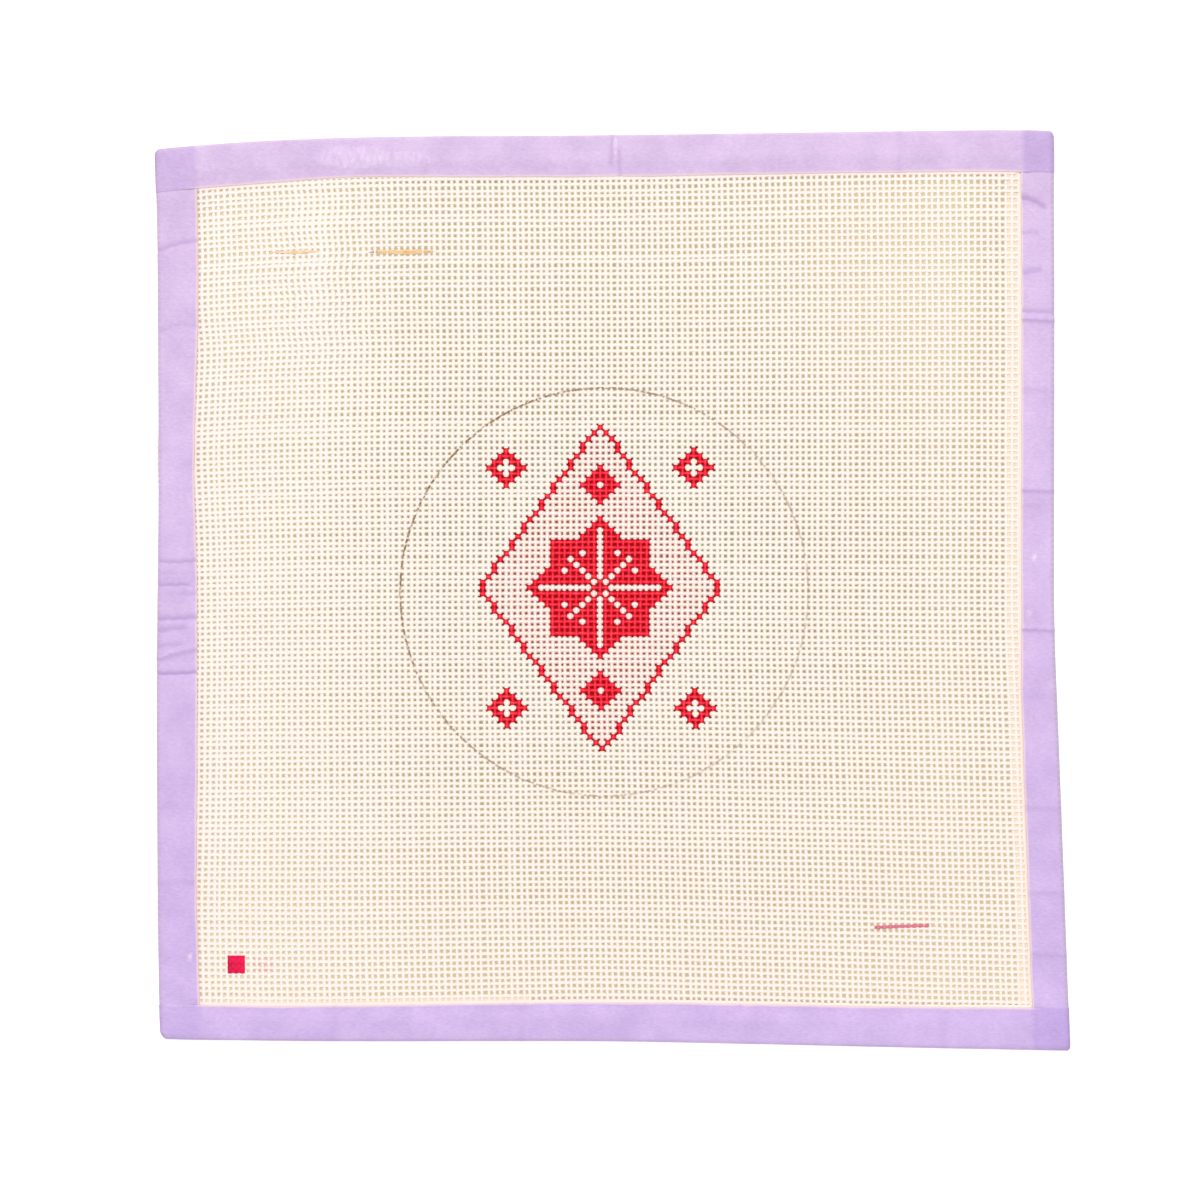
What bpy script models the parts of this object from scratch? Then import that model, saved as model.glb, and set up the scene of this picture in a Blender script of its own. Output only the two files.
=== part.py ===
"""Square needlepoint canvas panel, bound on all four sides with folded tape and lying flat.

One sheet of canvas carries four strips of tape, each folded over an edge of it: the side tapes
first, then the top and bottom tapes over their ends. Seen from above, the top edge is at +Y.
The tables and named sizes are in millimetres, and the model is in metres.
"""

import math
from collections import namedtuple

import bmesh
import bpy

MM = 0.001

CANVAS_THICKNESS = 1.0
TAPE_THICKNESS = 0.4
PIECE_GAP = 0.3
CANVAS_INSET = 1.2  # from the outline to the canvas edge, inside the folds of the tape
SIDE_TAPE_INSET = 1.9  # from the outline to the cut ends of the side tapes
CORNER_RADIUS = 1.6
CORNER_REACH = 5.0  # how far along the tape the rounding of its end dies away

LAYER = TAPE_THICKNESS + PIECE_GAP
LEG_OFFSET = CANVAS_THICKNESS / 2 + PIECE_GAP + TAPE_THICKNESS / 2  # of a tape's leg, from mid canvas
STEP_MARGIN = 0.8  # how far past a covered tape the layer over it stays raised
STEP_RAMP = 8.0  # and the length over which that layer comes down again

CANVAS_CELLS = 40
TAPE_STATIONS = 44
FOLD_SEGMENTS = 6
END_CROWDING = 0.5  # how much closer the stations stand at both ends than on average

# The sharp corners of the outline.
Corner = namedtuple("Corner", "x y")
BOTTOM_LEFT = Corner(-107.3, -106.7)
BOTTOM_RIGHT = Corner(108.7, -109.2)
TOP_LEFT = Corner(-108.7, 105.0)
TOP_RIGHT = Corner(104.8, 109.1)

# How far a side bows outwards from the straight line between its corners. Along runs from 0 to 1,
# left to right on the top and the bottom, and upwards on the two sides.
Bow = namedtuple("Bow", "along out")
TOP_BOW = (
    Bow(0.0, 0.0),
    Bow(0.11, 1.4),
    Bow(0.25, 1.9),
    Bow(0.5, 1.3),
    Bow(0.9, 0.6),
    Bow(1.0, 0.0),
)
BOTTOM_BOW = (
    Bow(0.0, 0.0),
    Bow(0.2, -0.2),
    Bow(0.48, -0.9),
    Bow(0.64, -0.7),
    Bow(0.85, -0.2),
    Bow(1.0, 0.0),
)
LEFT_BOW = (
    Bow(0.0, 0.0),
    Bow(0.07, 0.4),
    Bow(0.2, 0.55),
    Bow(0.42, 0.4),
    Bow(0.6, -0.25),
    Bow(0.75, -0.4),
    Bow(0.92, -0.35),
    Bow(1.0, 0.0),
)
RIGHT_BOW = (
    Bow(0.0, 0.0),
    Bow(0.14, -0.5),
    Bow(0.33, -1.3),
    Bow(0.46, -1.85),
    Bow(0.55, -1.6),
    Bow(0.83, -0.45),
    Bow(1.0, 0.0),
)

# How far a tape reaches in from the outline, on the face of the canvas and behind it.
Reach = namedtuple("Reach", "along front back")
TOP_REACH = (
    Reach(0.0, 9.8, 9.2),
    Reach(0.11, 10.0, 9.2),
    Reach(0.22, 9.45, 9.0),
    Reach(0.35, 9.75, 9.2),
    Reach(1.0, 9.8, 9.3),
)
BOTTOM_REACH = (
    Reach(0.0, 8.2, 9.9),
    Reach(0.3, 8.8, 9.9),
    Reach(0.5, 9.3, 9.8),
    Reach(0.85, 9.75, 9.2),
    Reach(1.0, 10.3, 9.0),
)
LEFT_REACH = (
    Reach(0.0, 9.7, 9.5),
    Reach(0.19, 9.2, 9.0),
    Reach(0.33, 9.55, 9.3),
    Reach(0.5, 9.4, 9.2),
    Reach(0.63, 8.45, 8.2),
    Reach(0.71, 8.8, 8.6),
    Reach(0.83, 9.6, 9.4),
    Reach(1.0, 9.6, 9.4),
)
RIGHT_REACH = (
    Reach(0.0, 8.65, 11.5),
    Reach(0.38, 8.4, 11.4),
    Reach(0.47, 7.75, 11.4),
    Reach(1.0, 7.8, 11.4),
)

# Soft swells that keep the canvas a little off the surface, all of them inside the tapes.
Swell = namedtuple("Swell", "x y half_x half_y height")
SWELLS = (
    Swell(0.0, 0.0, 92.0, 92.0, 0.9),
    Swell(-70.0, 76.0, 11.0, 30.0, 1.1),
    Swell(-84.0, -2.0, 22.0, 13.0, 0.5),
    Swell(78.0, -56.0, 26.0, 34.0, 0.5),
)
SWELL_FADE = 14.0  # over this distance from a tape the swells rise from nothing

LAVENDER = (0.716, 0.539, 0.831, 1.0)
COTTON_WHITE = (0.92, 0.89, 0.82, 1.0)


def eased(t):
    """A smooth rise from 0 to 1 while t goes from 0 to 1."""
    t = min(max(t, 0.0), 1.0)
    return t * t * (3.0 - 2.0 * t)


def slope(rows, column, i):
    before, after = rows[max(i - 1, 0)], rows[min(i + 1, len(rows) - 1)]
    rise = getattr(after, column) - getattr(before, column)
    return rise / (after.along - before.along)


def read(rows, column, along):
    """The value of a table's column at this place along a side, on a smooth curve through the rows."""
    i = 0
    while i < len(rows) - 2 and along > rows[i + 1].along:
        i += 1
    start, end = rows[i], rows[i + 1]
    span = end.along - start.along
    t = (along - start.along) / span
    low, high = getattr(start, column), getattr(end, column)
    leaving = slope(rows, column, i) * span
    arriving = slope(rows, column, i + 1) * span
    return (
        low
        + (high - low) * eased(t)
        + t * (1.0 - t) ** 2 * leaving
        - t * t * (1.0 - t) * arriving
    )


def plan(u, v):
    """The place in plan of a point u of the way across the panel and v of the way up it."""
    bottom_x = BOTTOM_LEFT.x + (BOTTOM_RIGHT.x - BOTTOM_LEFT.x) * u
    bottom_y = BOTTOM_LEFT.y + (BOTTOM_RIGHT.y - BOTTOM_LEFT.y) * u
    top_x = TOP_LEFT.x + (TOP_RIGHT.x - TOP_LEFT.x) * u
    top_y = TOP_LEFT.y + (TOP_RIGHT.y - TOP_LEFT.y) * u
    x = bottom_x + (top_x - bottom_x) * v
    y = bottom_y + (top_y - bottom_y) * v
    x += u * read(RIGHT_BOW, "out", v) - (1.0 - u) * read(LEFT_BOW, "out", v)
    y += v * read(TOP_BOW, "out", u) - (1.0 - v) * read(BOTTOM_BOW, "out", u)
    return x, y


def row_length(v):
    return plan(1.0, v)[0] - plan(0.0, v)[0]


def column_height(u):
    return plan(u, 1.0)[1] - plan(u, 0.0)[1]


def raised_over(distance, reach):
    """1 above a tape that reaches this far in from the outline, easing to 0 beyond it."""
    return 1.0 - eased((distance - reach - STEP_MARGIN) / STEP_RAMP)


def over_side_tape(u, v, face):
    """1 where a side tape lies in the stack, on the named face of the canvas."""
    length = row_length(v)
    left = raised_over(u * length, read(LEFT_REACH, face, round(v)))
    right = raised_over((1.0 - u) * length, read(RIGHT_REACH, face, round(v)))
    return max(left, right)


def over_end_tape(u, v):
    """1 where the top or the bottom tape lies behind the canvas."""
    height = column_height(u)
    bottom = raised_over(v * height, read(BOTTOM_REACH, "back", round(u)))
    top = raised_over((1.0 - v) * height, read(TOP_REACH, "back", round(u)))
    return max(bottom, top)


def swell_height(u, v):
    length, height = row_length(v), column_height(u)
    inside = (
        eased((u * length - read(LEFT_REACH, "front", v)) / SWELL_FADE)
        * eased(((1.0 - u) * length - read(RIGHT_REACH, "back", v)) / SWELL_FADE)
        * eased((v * height - read(BOTTOM_REACH, "back", u)) / SWELL_FADE)
        * eased(((1.0 - v) * height - read(TOP_REACH, "front", u)) / SWELL_FADE)
    )
    x, y = plan(u, v)
    total = 0.0
    for swell in SWELLS:
        away = ((x - swell.x) / swell.half_x) ** 2 + ((y - swell.y) / swell.half_y) ** 2
        total += swell.height * max(1.0 - away, 0.0) ** 2
    return total * inside


def middle_height(u, v):
    """The height of the middle of the canvas, which the tapes lie on either side of."""
    resting = LEG_OFFSET + TAPE_THICKNESS / 2
    corner_lift = LAYER * over_side_tape(u, v, "back") * over_end_tape(u, v)
    return resting + corner_lift + swell_height(u, v)


def crowded(share):
    """A place from 0 to 1, with places near both ends drawn closer together."""
    return share - END_CROWDING * math.sin(2 * math.pi * share) / (2 * math.pi)


def solid_from_grid(name, columns, rows, place, thickness, material, collection):
    """A grid of faces with each point put where place(i, j) says, in mm, then made solid."""
    grid = bmesh.new()
    bmesh.ops.create_grid(grid, x_segments=columns, y_segments=rows, size=0.5)
    for vert in grid.verts:
        i = round((vert.co.x + 0.5) * columns)
        j = round((vert.co.y + 0.5) * rows)
        vert.co = [value * MM for value in place(i, j)]
    mesh = bpy.data.meshes.new(name)
    grid.to_mesh(mesh)
    grid.free()
    mesh.shade_smooth()
    mesh.materials.append(material)
    piece = bpy.data.objects.new(name, mesh)
    collection.objects.link(piece)
    solid = piece.modifiers.new("thickness", "SOLIDIFY")
    solid.thickness = thickness * MM
    solid.offset = 0.0
    return piece


def make_canvas(material, collection):
    def place(i, j):
        margin_u = CANVAS_INSET / row_length(0.5)
        margin_v = CANVAS_INSET / column_height(0.5)
        u = margin_u + crowded(i / CANVAS_CELLS) * (1.0 - 2 * margin_u)
        v = margin_v + crowded(j / CANVAS_CELLS) * (1.0 - 2 * margin_v)
        return (*plan(u, v), middle_height(u, v))

    return solid_from_grid(
        "canvas",
        CANVAS_CELLS,
        CANVAS_CELLS,
        place,
        CANVAS_THICKNESS,
        material,
        collection,
    )


def across_tape(j, back_reach, front_reach, back_offset, front_offset):
    """Depth in from the outline and height over the canvas's middle, across the folded tape.

    j counts from the back inner edge, round the fold, to the front inner edge.
    """
    fold_radius = (front_offset + back_offset) / 2
    fold_centre = TAPE_THICKNESS / 2 + fold_radius
    if j == 0:
        return back_reach, -back_offset
    if j == FOLD_SEGMENTS + 2:
        return front_reach, front_offset
    angle = math.pi * ((j - 1) / FOLD_SEGMENTS - 0.5)
    depth = fold_centre - fold_radius * math.cos(angle)
    return depth, (front_offset - back_offset) / 2 + fold_radius * math.sin(angle)


def rounded_end(from_end, depth):
    """How far a tape's cut end is drawn in, at this depth in from the outline, to round the corner."""
    short = max(CORNER_RADIUS - depth, 0.0)
    drawn_in = CORNER_RADIUS - math.sqrt(CORNER_RADIUS**2 - short**2)
    return drawn_in * (1.0 - eased(from_end / CORNER_REACH))


def make_end_tape(name, reach, at_top, material, collection):
    """The top or the bottom tape, which runs the panel's full width over the side tapes."""

    def place(i, j):
        u = crowded(i / TAPE_STATIONS)
        edge = 1.0 if at_top else 0.0
        back = LEG_OFFSET + LAYER * over_side_tape(u, edge, "back")
        front = LEG_OFFSET + LAYER * over_side_tape(u, edge, "front")
        depth, over = across_tape(j, read(reach, "back", u), read(reach, "front", u), back, front)
        in_from_edge = depth / column_height(u)
        v = 1.0 - in_from_edge if at_top else in_from_edge
        x, y = plan(u, v)
        length = row_length(edge)
        x += rounded_end(u * length, depth) - rounded_end((1.0 - u) * length, depth)
        return x, y, middle_height(u, v) + over

    # The rows run from the back edge to the front, so the top tape's columns run the other way.
    turned = (lambda i, j: place(TAPE_STATIONS - i, j)) if at_top else place
    return solid_from_grid(
        name,
        TAPE_STATIONS,
        FOLD_SEGMENTS + 2,
        turned,
        TAPE_THICKNESS,
        material,
        collection,
    )


def make_side_tape(name, reach, at_right, material, collection):
    """The left or the right tape, whose ends are inside the top and the bottom tape."""

    def place(i, j):
        edge = 1.0 if at_right else 0.0
        margin = SIDE_TAPE_INSET / column_height(edge)
        v = margin + crowded(i / TAPE_STATIONS) * (1.0 - 2 * margin)
        back, front = read(reach, "back", v), read(reach, "front", v)
        depth, over = across_tape(j, back, front, LEG_OFFSET, LEG_OFFSET)
        in_from_edge = depth / row_length(v)
        u = 1.0 - in_from_edge if at_right else in_from_edge
        return (*plan(u, v), middle_height(u, v) + over)

    turned = place if at_right else (lambda i, j: place(TAPE_STATIONS - i, j))
    return solid_from_grid(
        name,
        TAPE_STATIONS,
        FOLD_SEGMENTS + 2,
        turned,
        TAPE_THICKNESS,
        material,
        collection,
    )


def cloth_material(name, colour, roughness):
    material = bpy.data.materials.new(name)
    material.use_nodes = True
    shader = material.node_tree.nodes["Principled BSDF"]
    shader.inputs["Base Color"].default_value = colour
    shader.inputs["Roughness"].default_value = roughness
    shader.inputs["Metallic"].default_value = 0.0
    return material


def clear_scene():
    for item in list(bpy.data.objects):
        bpy.data.objects.remove(item, do_unlink=True)


def main():
    clear_scene()
    panel = bpy.data.collections.new("needlepoint_canvas_panel")
    bpy.context.scene.collection.children.link(panel)
    cotton = cloth_material("canvas_cotton", COTTON_WHITE, 0.85)
    make_canvas(cotton, panel)
    for name, reach, at_right in (
        ("tape_left", LEFT_REACH, False),
        ("tape_right", RIGHT_REACH, True),
    ):
        make_side_tape(name, reach, at_right, cloth_material(name, LAVENDER, 0.6), panel)
    for name, reach, at_top in (
        ("tape_bottom", BOTTOM_REACH, False),
        ("tape_top", TOP_REACH, True),
    ):
        make_end_tape(name, reach, at_top, cloth_material(name, LAVENDER, 0.6), panel)


main()
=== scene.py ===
# %% [markdown]
# # A bound needlepoint canvas
#
# The object is a square of open, evenly woven cotton canvas with a charted design painted on it.
# Its four edges are bound with lavender tape, folded over so that the canvas can't fray. It lies
# flat, and the camera looks straight down on it.
#
# Almost all that the eye sees is thread: about three hundred of them, each passing over and under
# the others. So the canvas is really woven here, one tube of mesh for each thread, and light finds
# its own way through the holes.

# %% The frame, and the box that the finished panel has to stay in
import math
from collections import namedtuple

import bpy
import numpy as np
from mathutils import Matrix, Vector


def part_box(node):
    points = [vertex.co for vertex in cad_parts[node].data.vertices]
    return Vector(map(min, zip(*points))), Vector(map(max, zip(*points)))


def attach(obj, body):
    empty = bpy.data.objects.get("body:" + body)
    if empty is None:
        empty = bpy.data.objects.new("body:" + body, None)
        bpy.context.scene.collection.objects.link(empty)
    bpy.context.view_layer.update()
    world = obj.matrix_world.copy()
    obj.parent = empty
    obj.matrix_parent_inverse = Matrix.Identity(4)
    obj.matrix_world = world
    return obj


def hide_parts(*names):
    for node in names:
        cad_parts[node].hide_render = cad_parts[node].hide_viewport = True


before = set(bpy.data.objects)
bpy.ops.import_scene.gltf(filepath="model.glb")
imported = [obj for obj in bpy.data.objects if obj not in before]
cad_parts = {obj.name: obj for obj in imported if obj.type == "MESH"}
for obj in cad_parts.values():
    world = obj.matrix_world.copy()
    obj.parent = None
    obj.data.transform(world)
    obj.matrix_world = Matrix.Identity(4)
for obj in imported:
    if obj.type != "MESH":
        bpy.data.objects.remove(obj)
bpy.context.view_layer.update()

MM = 0.001

# %% [markdown]
# ## The outline
#
# A hand-cut square is never square. Each side is a straight line between two corners, plus a small
# bow, read from a short table in millimetres. `read` draws a smooth curve through a table's rows,
# so a few rows are enough for a long soft edge.
#
# Every thread and every strip of tape takes its place from one function, `plan`, which turns a
# share of the way across (u) and up (v) into a place on the table top. Threads near the left edge
# then follow the left edge, and so on round the panel, as they do in real cloth.

# %% The outline's corners and bows
Corner = namedtuple("Corner", "x y")
BOTTOM_LEFT = Corner(-107.3, -106.7)
BOTTOM_RIGHT = Corner(108.7, -109.2)
TOP_LEFT = Corner(-108.7, 105.0)
TOP_RIGHT = Corner(104.8, 109.1)
SIDE_TAPES, END_TAPES, FAR_SIDES = ("left", "right"), ("bottom", "top"), ("right", "top")

# Columns: the share of the way along the side, and the bow outwards there.
BOWS = {
    "top": ((0.0, 0.0), (0.11, 1.4), (0.25, 1.9), (0.5, 1.3), (0.9, 0.8), (0.97, 0.5), (1.0, 0.2)),
    "bottom": ((0.0, -0.25), (0.06, -0.15), (0.2, -0.2), (0.48, -0.9), (0.64, -0.7),
               (0.85, -0.2), (1.0, 0.0)),
    "left": ((0.0, 0.0), (0.07, 0.4), (0.2, 0.55), (0.42, 0.4),
             (0.6, -0.25), (0.75, -0.4), (0.92, -0.35), (1.0, 0.0)),
    "right": ((0.0, 0.0), (0.14, -0.5), (0.33, -1.3), (0.46, -1.85),
              (0.55, -1.6), (0.83, -0.45), (1.0, 0.0)),
}


def eased(t):
    """A smooth rise from 0 to 1 while t goes from 0 to 1."""
    t = np.clip(t, 0.0, 1.0)
    return t * t * (3.0 - 2.0 * t)


def read(rows, along, column=1):
    """The value of a table's column at a place along a side, on a smooth curve through its rows."""
    places = np.array([row[0] for row in rows])
    values = np.array([row[column] for row in rows])
    last = len(rows) - 1
    before, after = np.clip(np.arange(-1, last), 0, last), np.clip(np.arange(1, last + 2), 0, last)
    rises = (values[after] - values[before]) / (places[after] - places[before])
    i = np.clip(np.searchsorted(places, along, side="left") - 1, 0, last - 1)
    span = places[i + 1] - places[i]
    t = (along - places[i]) / span
    return (
        values[i]
        + (values[i + 1] - values[i]) * t * t * (3.0 - 2.0 * t)
        + t * (1.0 - t) ** 2 * rises[i] * span
        - t * t * (1.0 - t) * rises[i + 1] * span
    )


def plan(u, v):
    """The place in plan, in mm, of points u of the way across the panel and v of the way up."""
    x = (BOTTOM_LEFT.x * (1 - u) + BOTTOM_RIGHT.x * u) * (1 - v)
    x += (TOP_LEFT.x * (1 - u) + TOP_RIGHT.x * u) * v
    y = (BOTTOM_LEFT.y * (1 - u) + BOTTOM_RIGHT.y * u) * (1 - v)
    y += (TOP_LEFT.y * (1 - u) + TOP_RIGHT.y * u) * v
    x += u * read(BOWS["right"], v) - (1 - u) * read(BOWS["left"], v)
    y += v * read(BOWS["top"], u) - (1 - v) * read(BOWS["bottom"], u)
    return x, y


def row_length(v):
    return plan(1.0, v)[0] - plan(0.0, v)[0]


def column_height(u):
    return plan(u, 1.0)[1] - plan(u, 0.0)[1]


def depths(u, v):
    """How far in from each side of the outline a place lies, in mm."""
    length, height = row_length(v), column_height(u)
    return {"left": u * length, "right": (1 - u) * length, "bottom": v * height, "top": (1 - v) * height}


def shares_at(x, y):
    """The shares across and up of places in plan: `plan` the other way round, by closing in."""
    u = (x - BOTTOM_LEFT.x) / (BOTTOM_RIGHT.x - BOTTOM_LEFT.x)
    v = (y - BOTTOM_LEFT.y) / (TOP_LEFT.y - BOTTOM_LEFT.y)
    for _ in range(8):
        now_x, now_y = plan(u, v)
        u = u + (x - now_x) / row_length(v)
        v = v + (y - now_y) / column_height(u)
    return u, v


print("across the middle %.1f mm, up the middle %.1f mm" % (row_length(0.5), column_height(0.5)))

# %% [markdown]
# ## The stack of layers
#
# A binding is a sandwich: tape, canvas, tape. Where a top or bottom tape crosses the end of a side
# tape there are two more layers, and everything above them is lifted. The heights below are those
# of the solids, so each finished piece lies where its solid does. The middle of the panel also
# stands a little off the table in low swells. That hardly shows as shape, but it shows in the
# holes: the further the table is below them, the darker they are.

# %% How far the tapes reach in, and the height of the canvas
# Columns: the share of the way along the side, the reach in front, and the reach behind.
REACHES = {
    "top": ((0.0, 10.35, 9.2), (0.1, 10.1, 9.2), (0.22, 9.45, 9.0), (0.35, 9.75, 9.2),
            (0.85, 9.8, 9.3), (1.0, 10.05, 9.5)),
    "bottom": ((0.0, 8.25, 9.9), (0.08, 8.3, 9.9), (0.115, 8.25, 9.9), (0.3, 8.8, 9.9),
               (0.5, 9.3, 9.8), (0.85, 9.75, 9.2), (1.0, 10.3, 9.0)),
    "left": ((0.0, 9.7, 9.5), (0.19, 9.2, 9.0), (0.33, 9.55, 9.3), (0.5, 9.4, 9.2),
             (0.63, 8.45, 8.2), (0.71, 8.8, 8.6), (0.83, 9.6, 9.4), (1.0, 9.6, 9.4)),
    "right": ((0.0, 8.65, 11.5), (0.38, 8.4, 11.4), (0.47, 7.75, 11.4), (1.0, 7.8, 11.4)),
}
FRONT, BACK = 1, 2
CANVAS_THICKNESS = 1.0
TAPE_THICKNESS = 0.4
PIECE_GAP = 0.3
LAYER = TAPE_THICKNESS + PIECE_GAP
LEG_OFFSET = CANVAS_THICKNESS / 2 + PIECE_GAP + TAPE_THICKNESS / 2
STEP_MARGIN, STEP_RAMP = 0.8, 8.0  # how far beyond a tape, and over what length, a step comes down

Spot = namedtuple("Spot", "x y half_x half_y amount")  # an oval that fades out towards its rim
SWELLS = (  # amount: mm
    Spot(0.0, 0.0, 92.0, 92.0, 0.9),
    Spot(-70.0, 76.0, 11.0, 30.0, 1.1),
    Spot(-84.0, -2.0, 22.0, 13.0, 0.5),
    Spot(78.0, -56.0, 26.0, 34.0, 0.5),
)
SWELL_FADE = 14.0  # mm in from the binding
HOLDING_FACE = {"left": FRONT, "right": BACK, "bottom": BACK, "top": FRONT}  # holds the cloth down


def off_spot(spot, x, y):
    """0 at the middle of a spot, 1 on its rim and more beyond it."""
    return ((x - spot.x) / spot.half_x) ** 2 + ((y - spot.y) / spot.half_y) ** 2


def reach(side, u, v, face):
    return read(REACHES[side], v if side in SIDE_TAPES else u, face)


def over_tapes(pair, u, v, face, ramp=STEP_RAMP, margin=STEP_MARGIN):
    """1 where one of a pair of tapes lies in the stack, on this face of the canvas, easing to 0."""
    depth = depths(u, v)
    return np.maximum(*(
        1.0 - eased((depth[side] - reach(side, np.round(u), np.round(v), face) - margin) / ramp)
        for side in pair
    ))


def middle_height(u, v):
    """The height of the middle of the canvas, in mm, which the tapes lie on either side of."""
    inside = 1.0
    for side, depth in depths(u, v).items():
        inside = inside * eased((depth - reach(side, u, v, HOLDING_FACE[side])) / SWELL_FADE)
    x, y = plan(u, v)
    swell = sum(spot.amount * np.maximum(1.0 - off_spot(spot, x, y), 0.0) ** 2 for spot in SWELLS)
    corner_lift = LAYER * over_tapes(SIDE_TAPES, u, v, BACK) * over_tapes(END_TAPES, u, v, BACK)
    return LEG_OFFSET + TAPE_THICKNESS / 2 + corner_lift + swell * inside


_, solid_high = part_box("canvas")
print("the canvas solid's top is %.2f mm, and its middle's height here %.2f mm"
      % (solid_high.z / MM, middle_height(np.array(0.5), np.array(0.5))))

# %% [markdown]
# ## The studio
#
# The picture is the plainest of product shots: a white surface, so much soft light that it burns
# out to pure white, and the camera straight above. A long lens from over a metre away keeps the
# edges of the picture free of perspective. The light from the panel's top edge is a little
# stronger, and is all that draws the creases in the tape.

# %% The camera and the lights
PICTURE_WIDTH = 285.4  # mm of table that the square picture takes in
PICTURE_CENTRE = Corner(-2.95, -2.14)
CAMERA_HEIGHT = 1300.0

camera_data = bpy.data.cameras.new("camera")
camera_data.sensor_width = 36.0
camera_data.lens = camera_data.sensor_width * CAMERA_HEIGHT / PICTURE_WIDTH
camera_data.clip_end = 20.0
camera = bpy.data.objects.new("camera", camera_data)
camera.location = (PICTURE_CENTRE.x * MM, PICTURE_CENTRE.y * MM, CAMERA_HEIGHT * MM)
bpy.context.scene.collection.objects.link(camera)
bpy.context.scene.camera = camera
bpy.context.scene.view_settings.view_transform = "Standard"


def linear(hex_colour):
    """An sRGB colour such as #FFFFFF as the linear numbers that a shader works in."""
    parts = [int(hex_colour[i : i + 2], 16) / 255 for i in (1, 3, 5)]
    return [p / 12.92 if p <= 0.04045 else ((p + 0.055) / 1.055) ** 2.4 for p in parts] + [1.0]


def area_light(name, place, side, watts, hex_colour):
    """A square softbox, in metres, that faces the middle of the panel."""
    data = bpy.data.lights.new(name, "AREA")
    data.size, data.energy, data.color = side, watts, linear(hex_colour)[:3]
    lamp = bpy.data.objects.new(name, data)
    lamp.location = place
    tilt, turn = math.atan2(math.hypot(place[0], place[1]), place[2]), math.atan2(place[0], -place[1])
    lamp.rotation_euler = (tilt, 0.0, turn)
    bpy.context.scene.collection.objects.link(lamp)


ROOM_LIGHT = 0.825  # of plain white

area_light("softbox_top_edge", (-0.5, 1.9, 1.7), 1.4, 38.0, "#FFFEFC")
area_light("softbox_low_right", (0.9, -0.7, 1.1), 1.0, 3.0, "#FBFCFF")
world = bpy.data.worlds.new("white_room")
world.use_nodes = True
room = world.node_tree.nodes["Background"]
room.inputs["Color"].default_value = linear("#FFFFFF")
room.inputs["Strength"].default_value = ROOM_LIGHT
bpy.context.scene.world = world
print("lens %.0f mm from %.2f m up" % (camera_data.lens, CAMERA_HEIGHT * MM))

# %% [markdown]
# Every piece below is made with the same few helpers. `new_material` starts a finish and `add_node`
# adds one node to it. `mesh_object` makes an object from points, and `grid_faces` joins a grid of
# them. Meshes are made from arrays of points, and not with modelling tools, because the place of
# each thread is a matter of numbers.

# %% Helpers for finishes and meshes
A, B, MIXED = 6, 7, 2  # the colour sockets of a Mix node


def new_material(name, roughness, ior, specular):
    """A material, its nodes and its shader, with the numbers that are the same all over it."""
    material = bpy.data.materials.new(name)
    material.use_nodes = True
    shader = material.node_tree.nodes["Principled BSDF"]
    shader.inputs["Roughness"].default_value = roughness
    shader.inputs["IOR"].default_value = ior
    shader.inputs["Specular IOR Level"].default_value = specular
    return material, material.node_tree, shader


def add_node(tree, kind, inputs, out=0, **settings):
    """Adds a node and gives one of its outputs. An input is a number, an sRGB colour or a socket."""
    node = tree.nodes.new("ShaderNode" + kind)
    for name, value in settings.items():
        setattr(node, name, value)
    for socket, value in inputs.items():
        if isinstance(value, bpy.types.NodeSocket):
            tree.links.new(value, node.inputs[socket])
        else:
            node.inputs[socket].default_value = linear(value) if isinstance(value, str) else value
    return node.outputs[out]


def mesh_object(name, points, face_groups, materials, face_material=None, **point_values):
    """An object from points in mm, with smooth faces, a material for each face and point values."""
    mesh = bpy.data.meshes.new(name)
    faces = [face for group in face_groups for face in group.tolist()]
    mesh.from_pydata((points.reshape(-1, 3) * MM).tolist(), [], faces)
    for material in materials:
        mesh.materials.append(material)
    if face_material is not None:
        mesh.polygons.foreach_set("material_index", face_material.astype(np.int32))
    for attribute, values in point_values.items():
        layer = mesh.attributes.new(attribute, "FLOAT", "POINT")
        values = np.broadcast_to(values, points.shape[:-1]).astype(np.float32)
        layer.data.foreach_set("value", values.ravel())
    mesh.shade_smooth()
    mesh.update()
    piece = bpy.data.objects.new(name, mesh)
    bpy.context.scene.collection.objects.link(piece)
    return piece


def grid_faces(rows, columns):
    """Four-cornered faces between neighbours in a grid of points."""
    corner = np.arange(rows - 1)[:, None] * columns + np.arange(columns - 1)[None, :]
    return np.stack([corner, corner + 1, corner + columns + 1, corner + columns], axis=-1).reshape(-1, 4)


def square_grid(side, steps):
    """Places in plan, in mm, on a square grid round the middle."""
    return np.meshgrid(*[np.linspace(-side / 2, side / 2, steps + 1)] * 2)


print("a grid of 3 by 3 points has", len(grid_faces(3, 3)), "faces")

# %% [markdown]
# The table is a light table: opal acrylic sheet, lit faintly from behind, which is how product
# photographers keep shadows off a white ground. The sheet is hard and even, so the material carries
# only a breath of unevenness.

# %% The table top
def opal_acrylic():
    """Opal acrylic: IOR 1.49, satin, white all through, with a little light coming up from below."""
    material, tree, shader = new_material("opal_acrylic", 0.6, 1.49, 0.2)
    place = add_node(tree, "TexCoord", {}, "Object")
    cloud = add_node(tree, "TexNoise", {"Vector": place, "Scale": 3.0}, "Fac")
    tone = add_node(tree, "Mix", {"Factor": cloud, A: "#F7F7F7", B: "#FBFBFB"}, MIXED, data_type="RGBA")
    tree.links.new(tone, shader.inputs["Base Color"])
    shader.inputs["Emission Color"].default_value = linear("#FFFFFF")
    shader.inputs["Emission Strength"].default_value = 0.34
    return material


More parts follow.
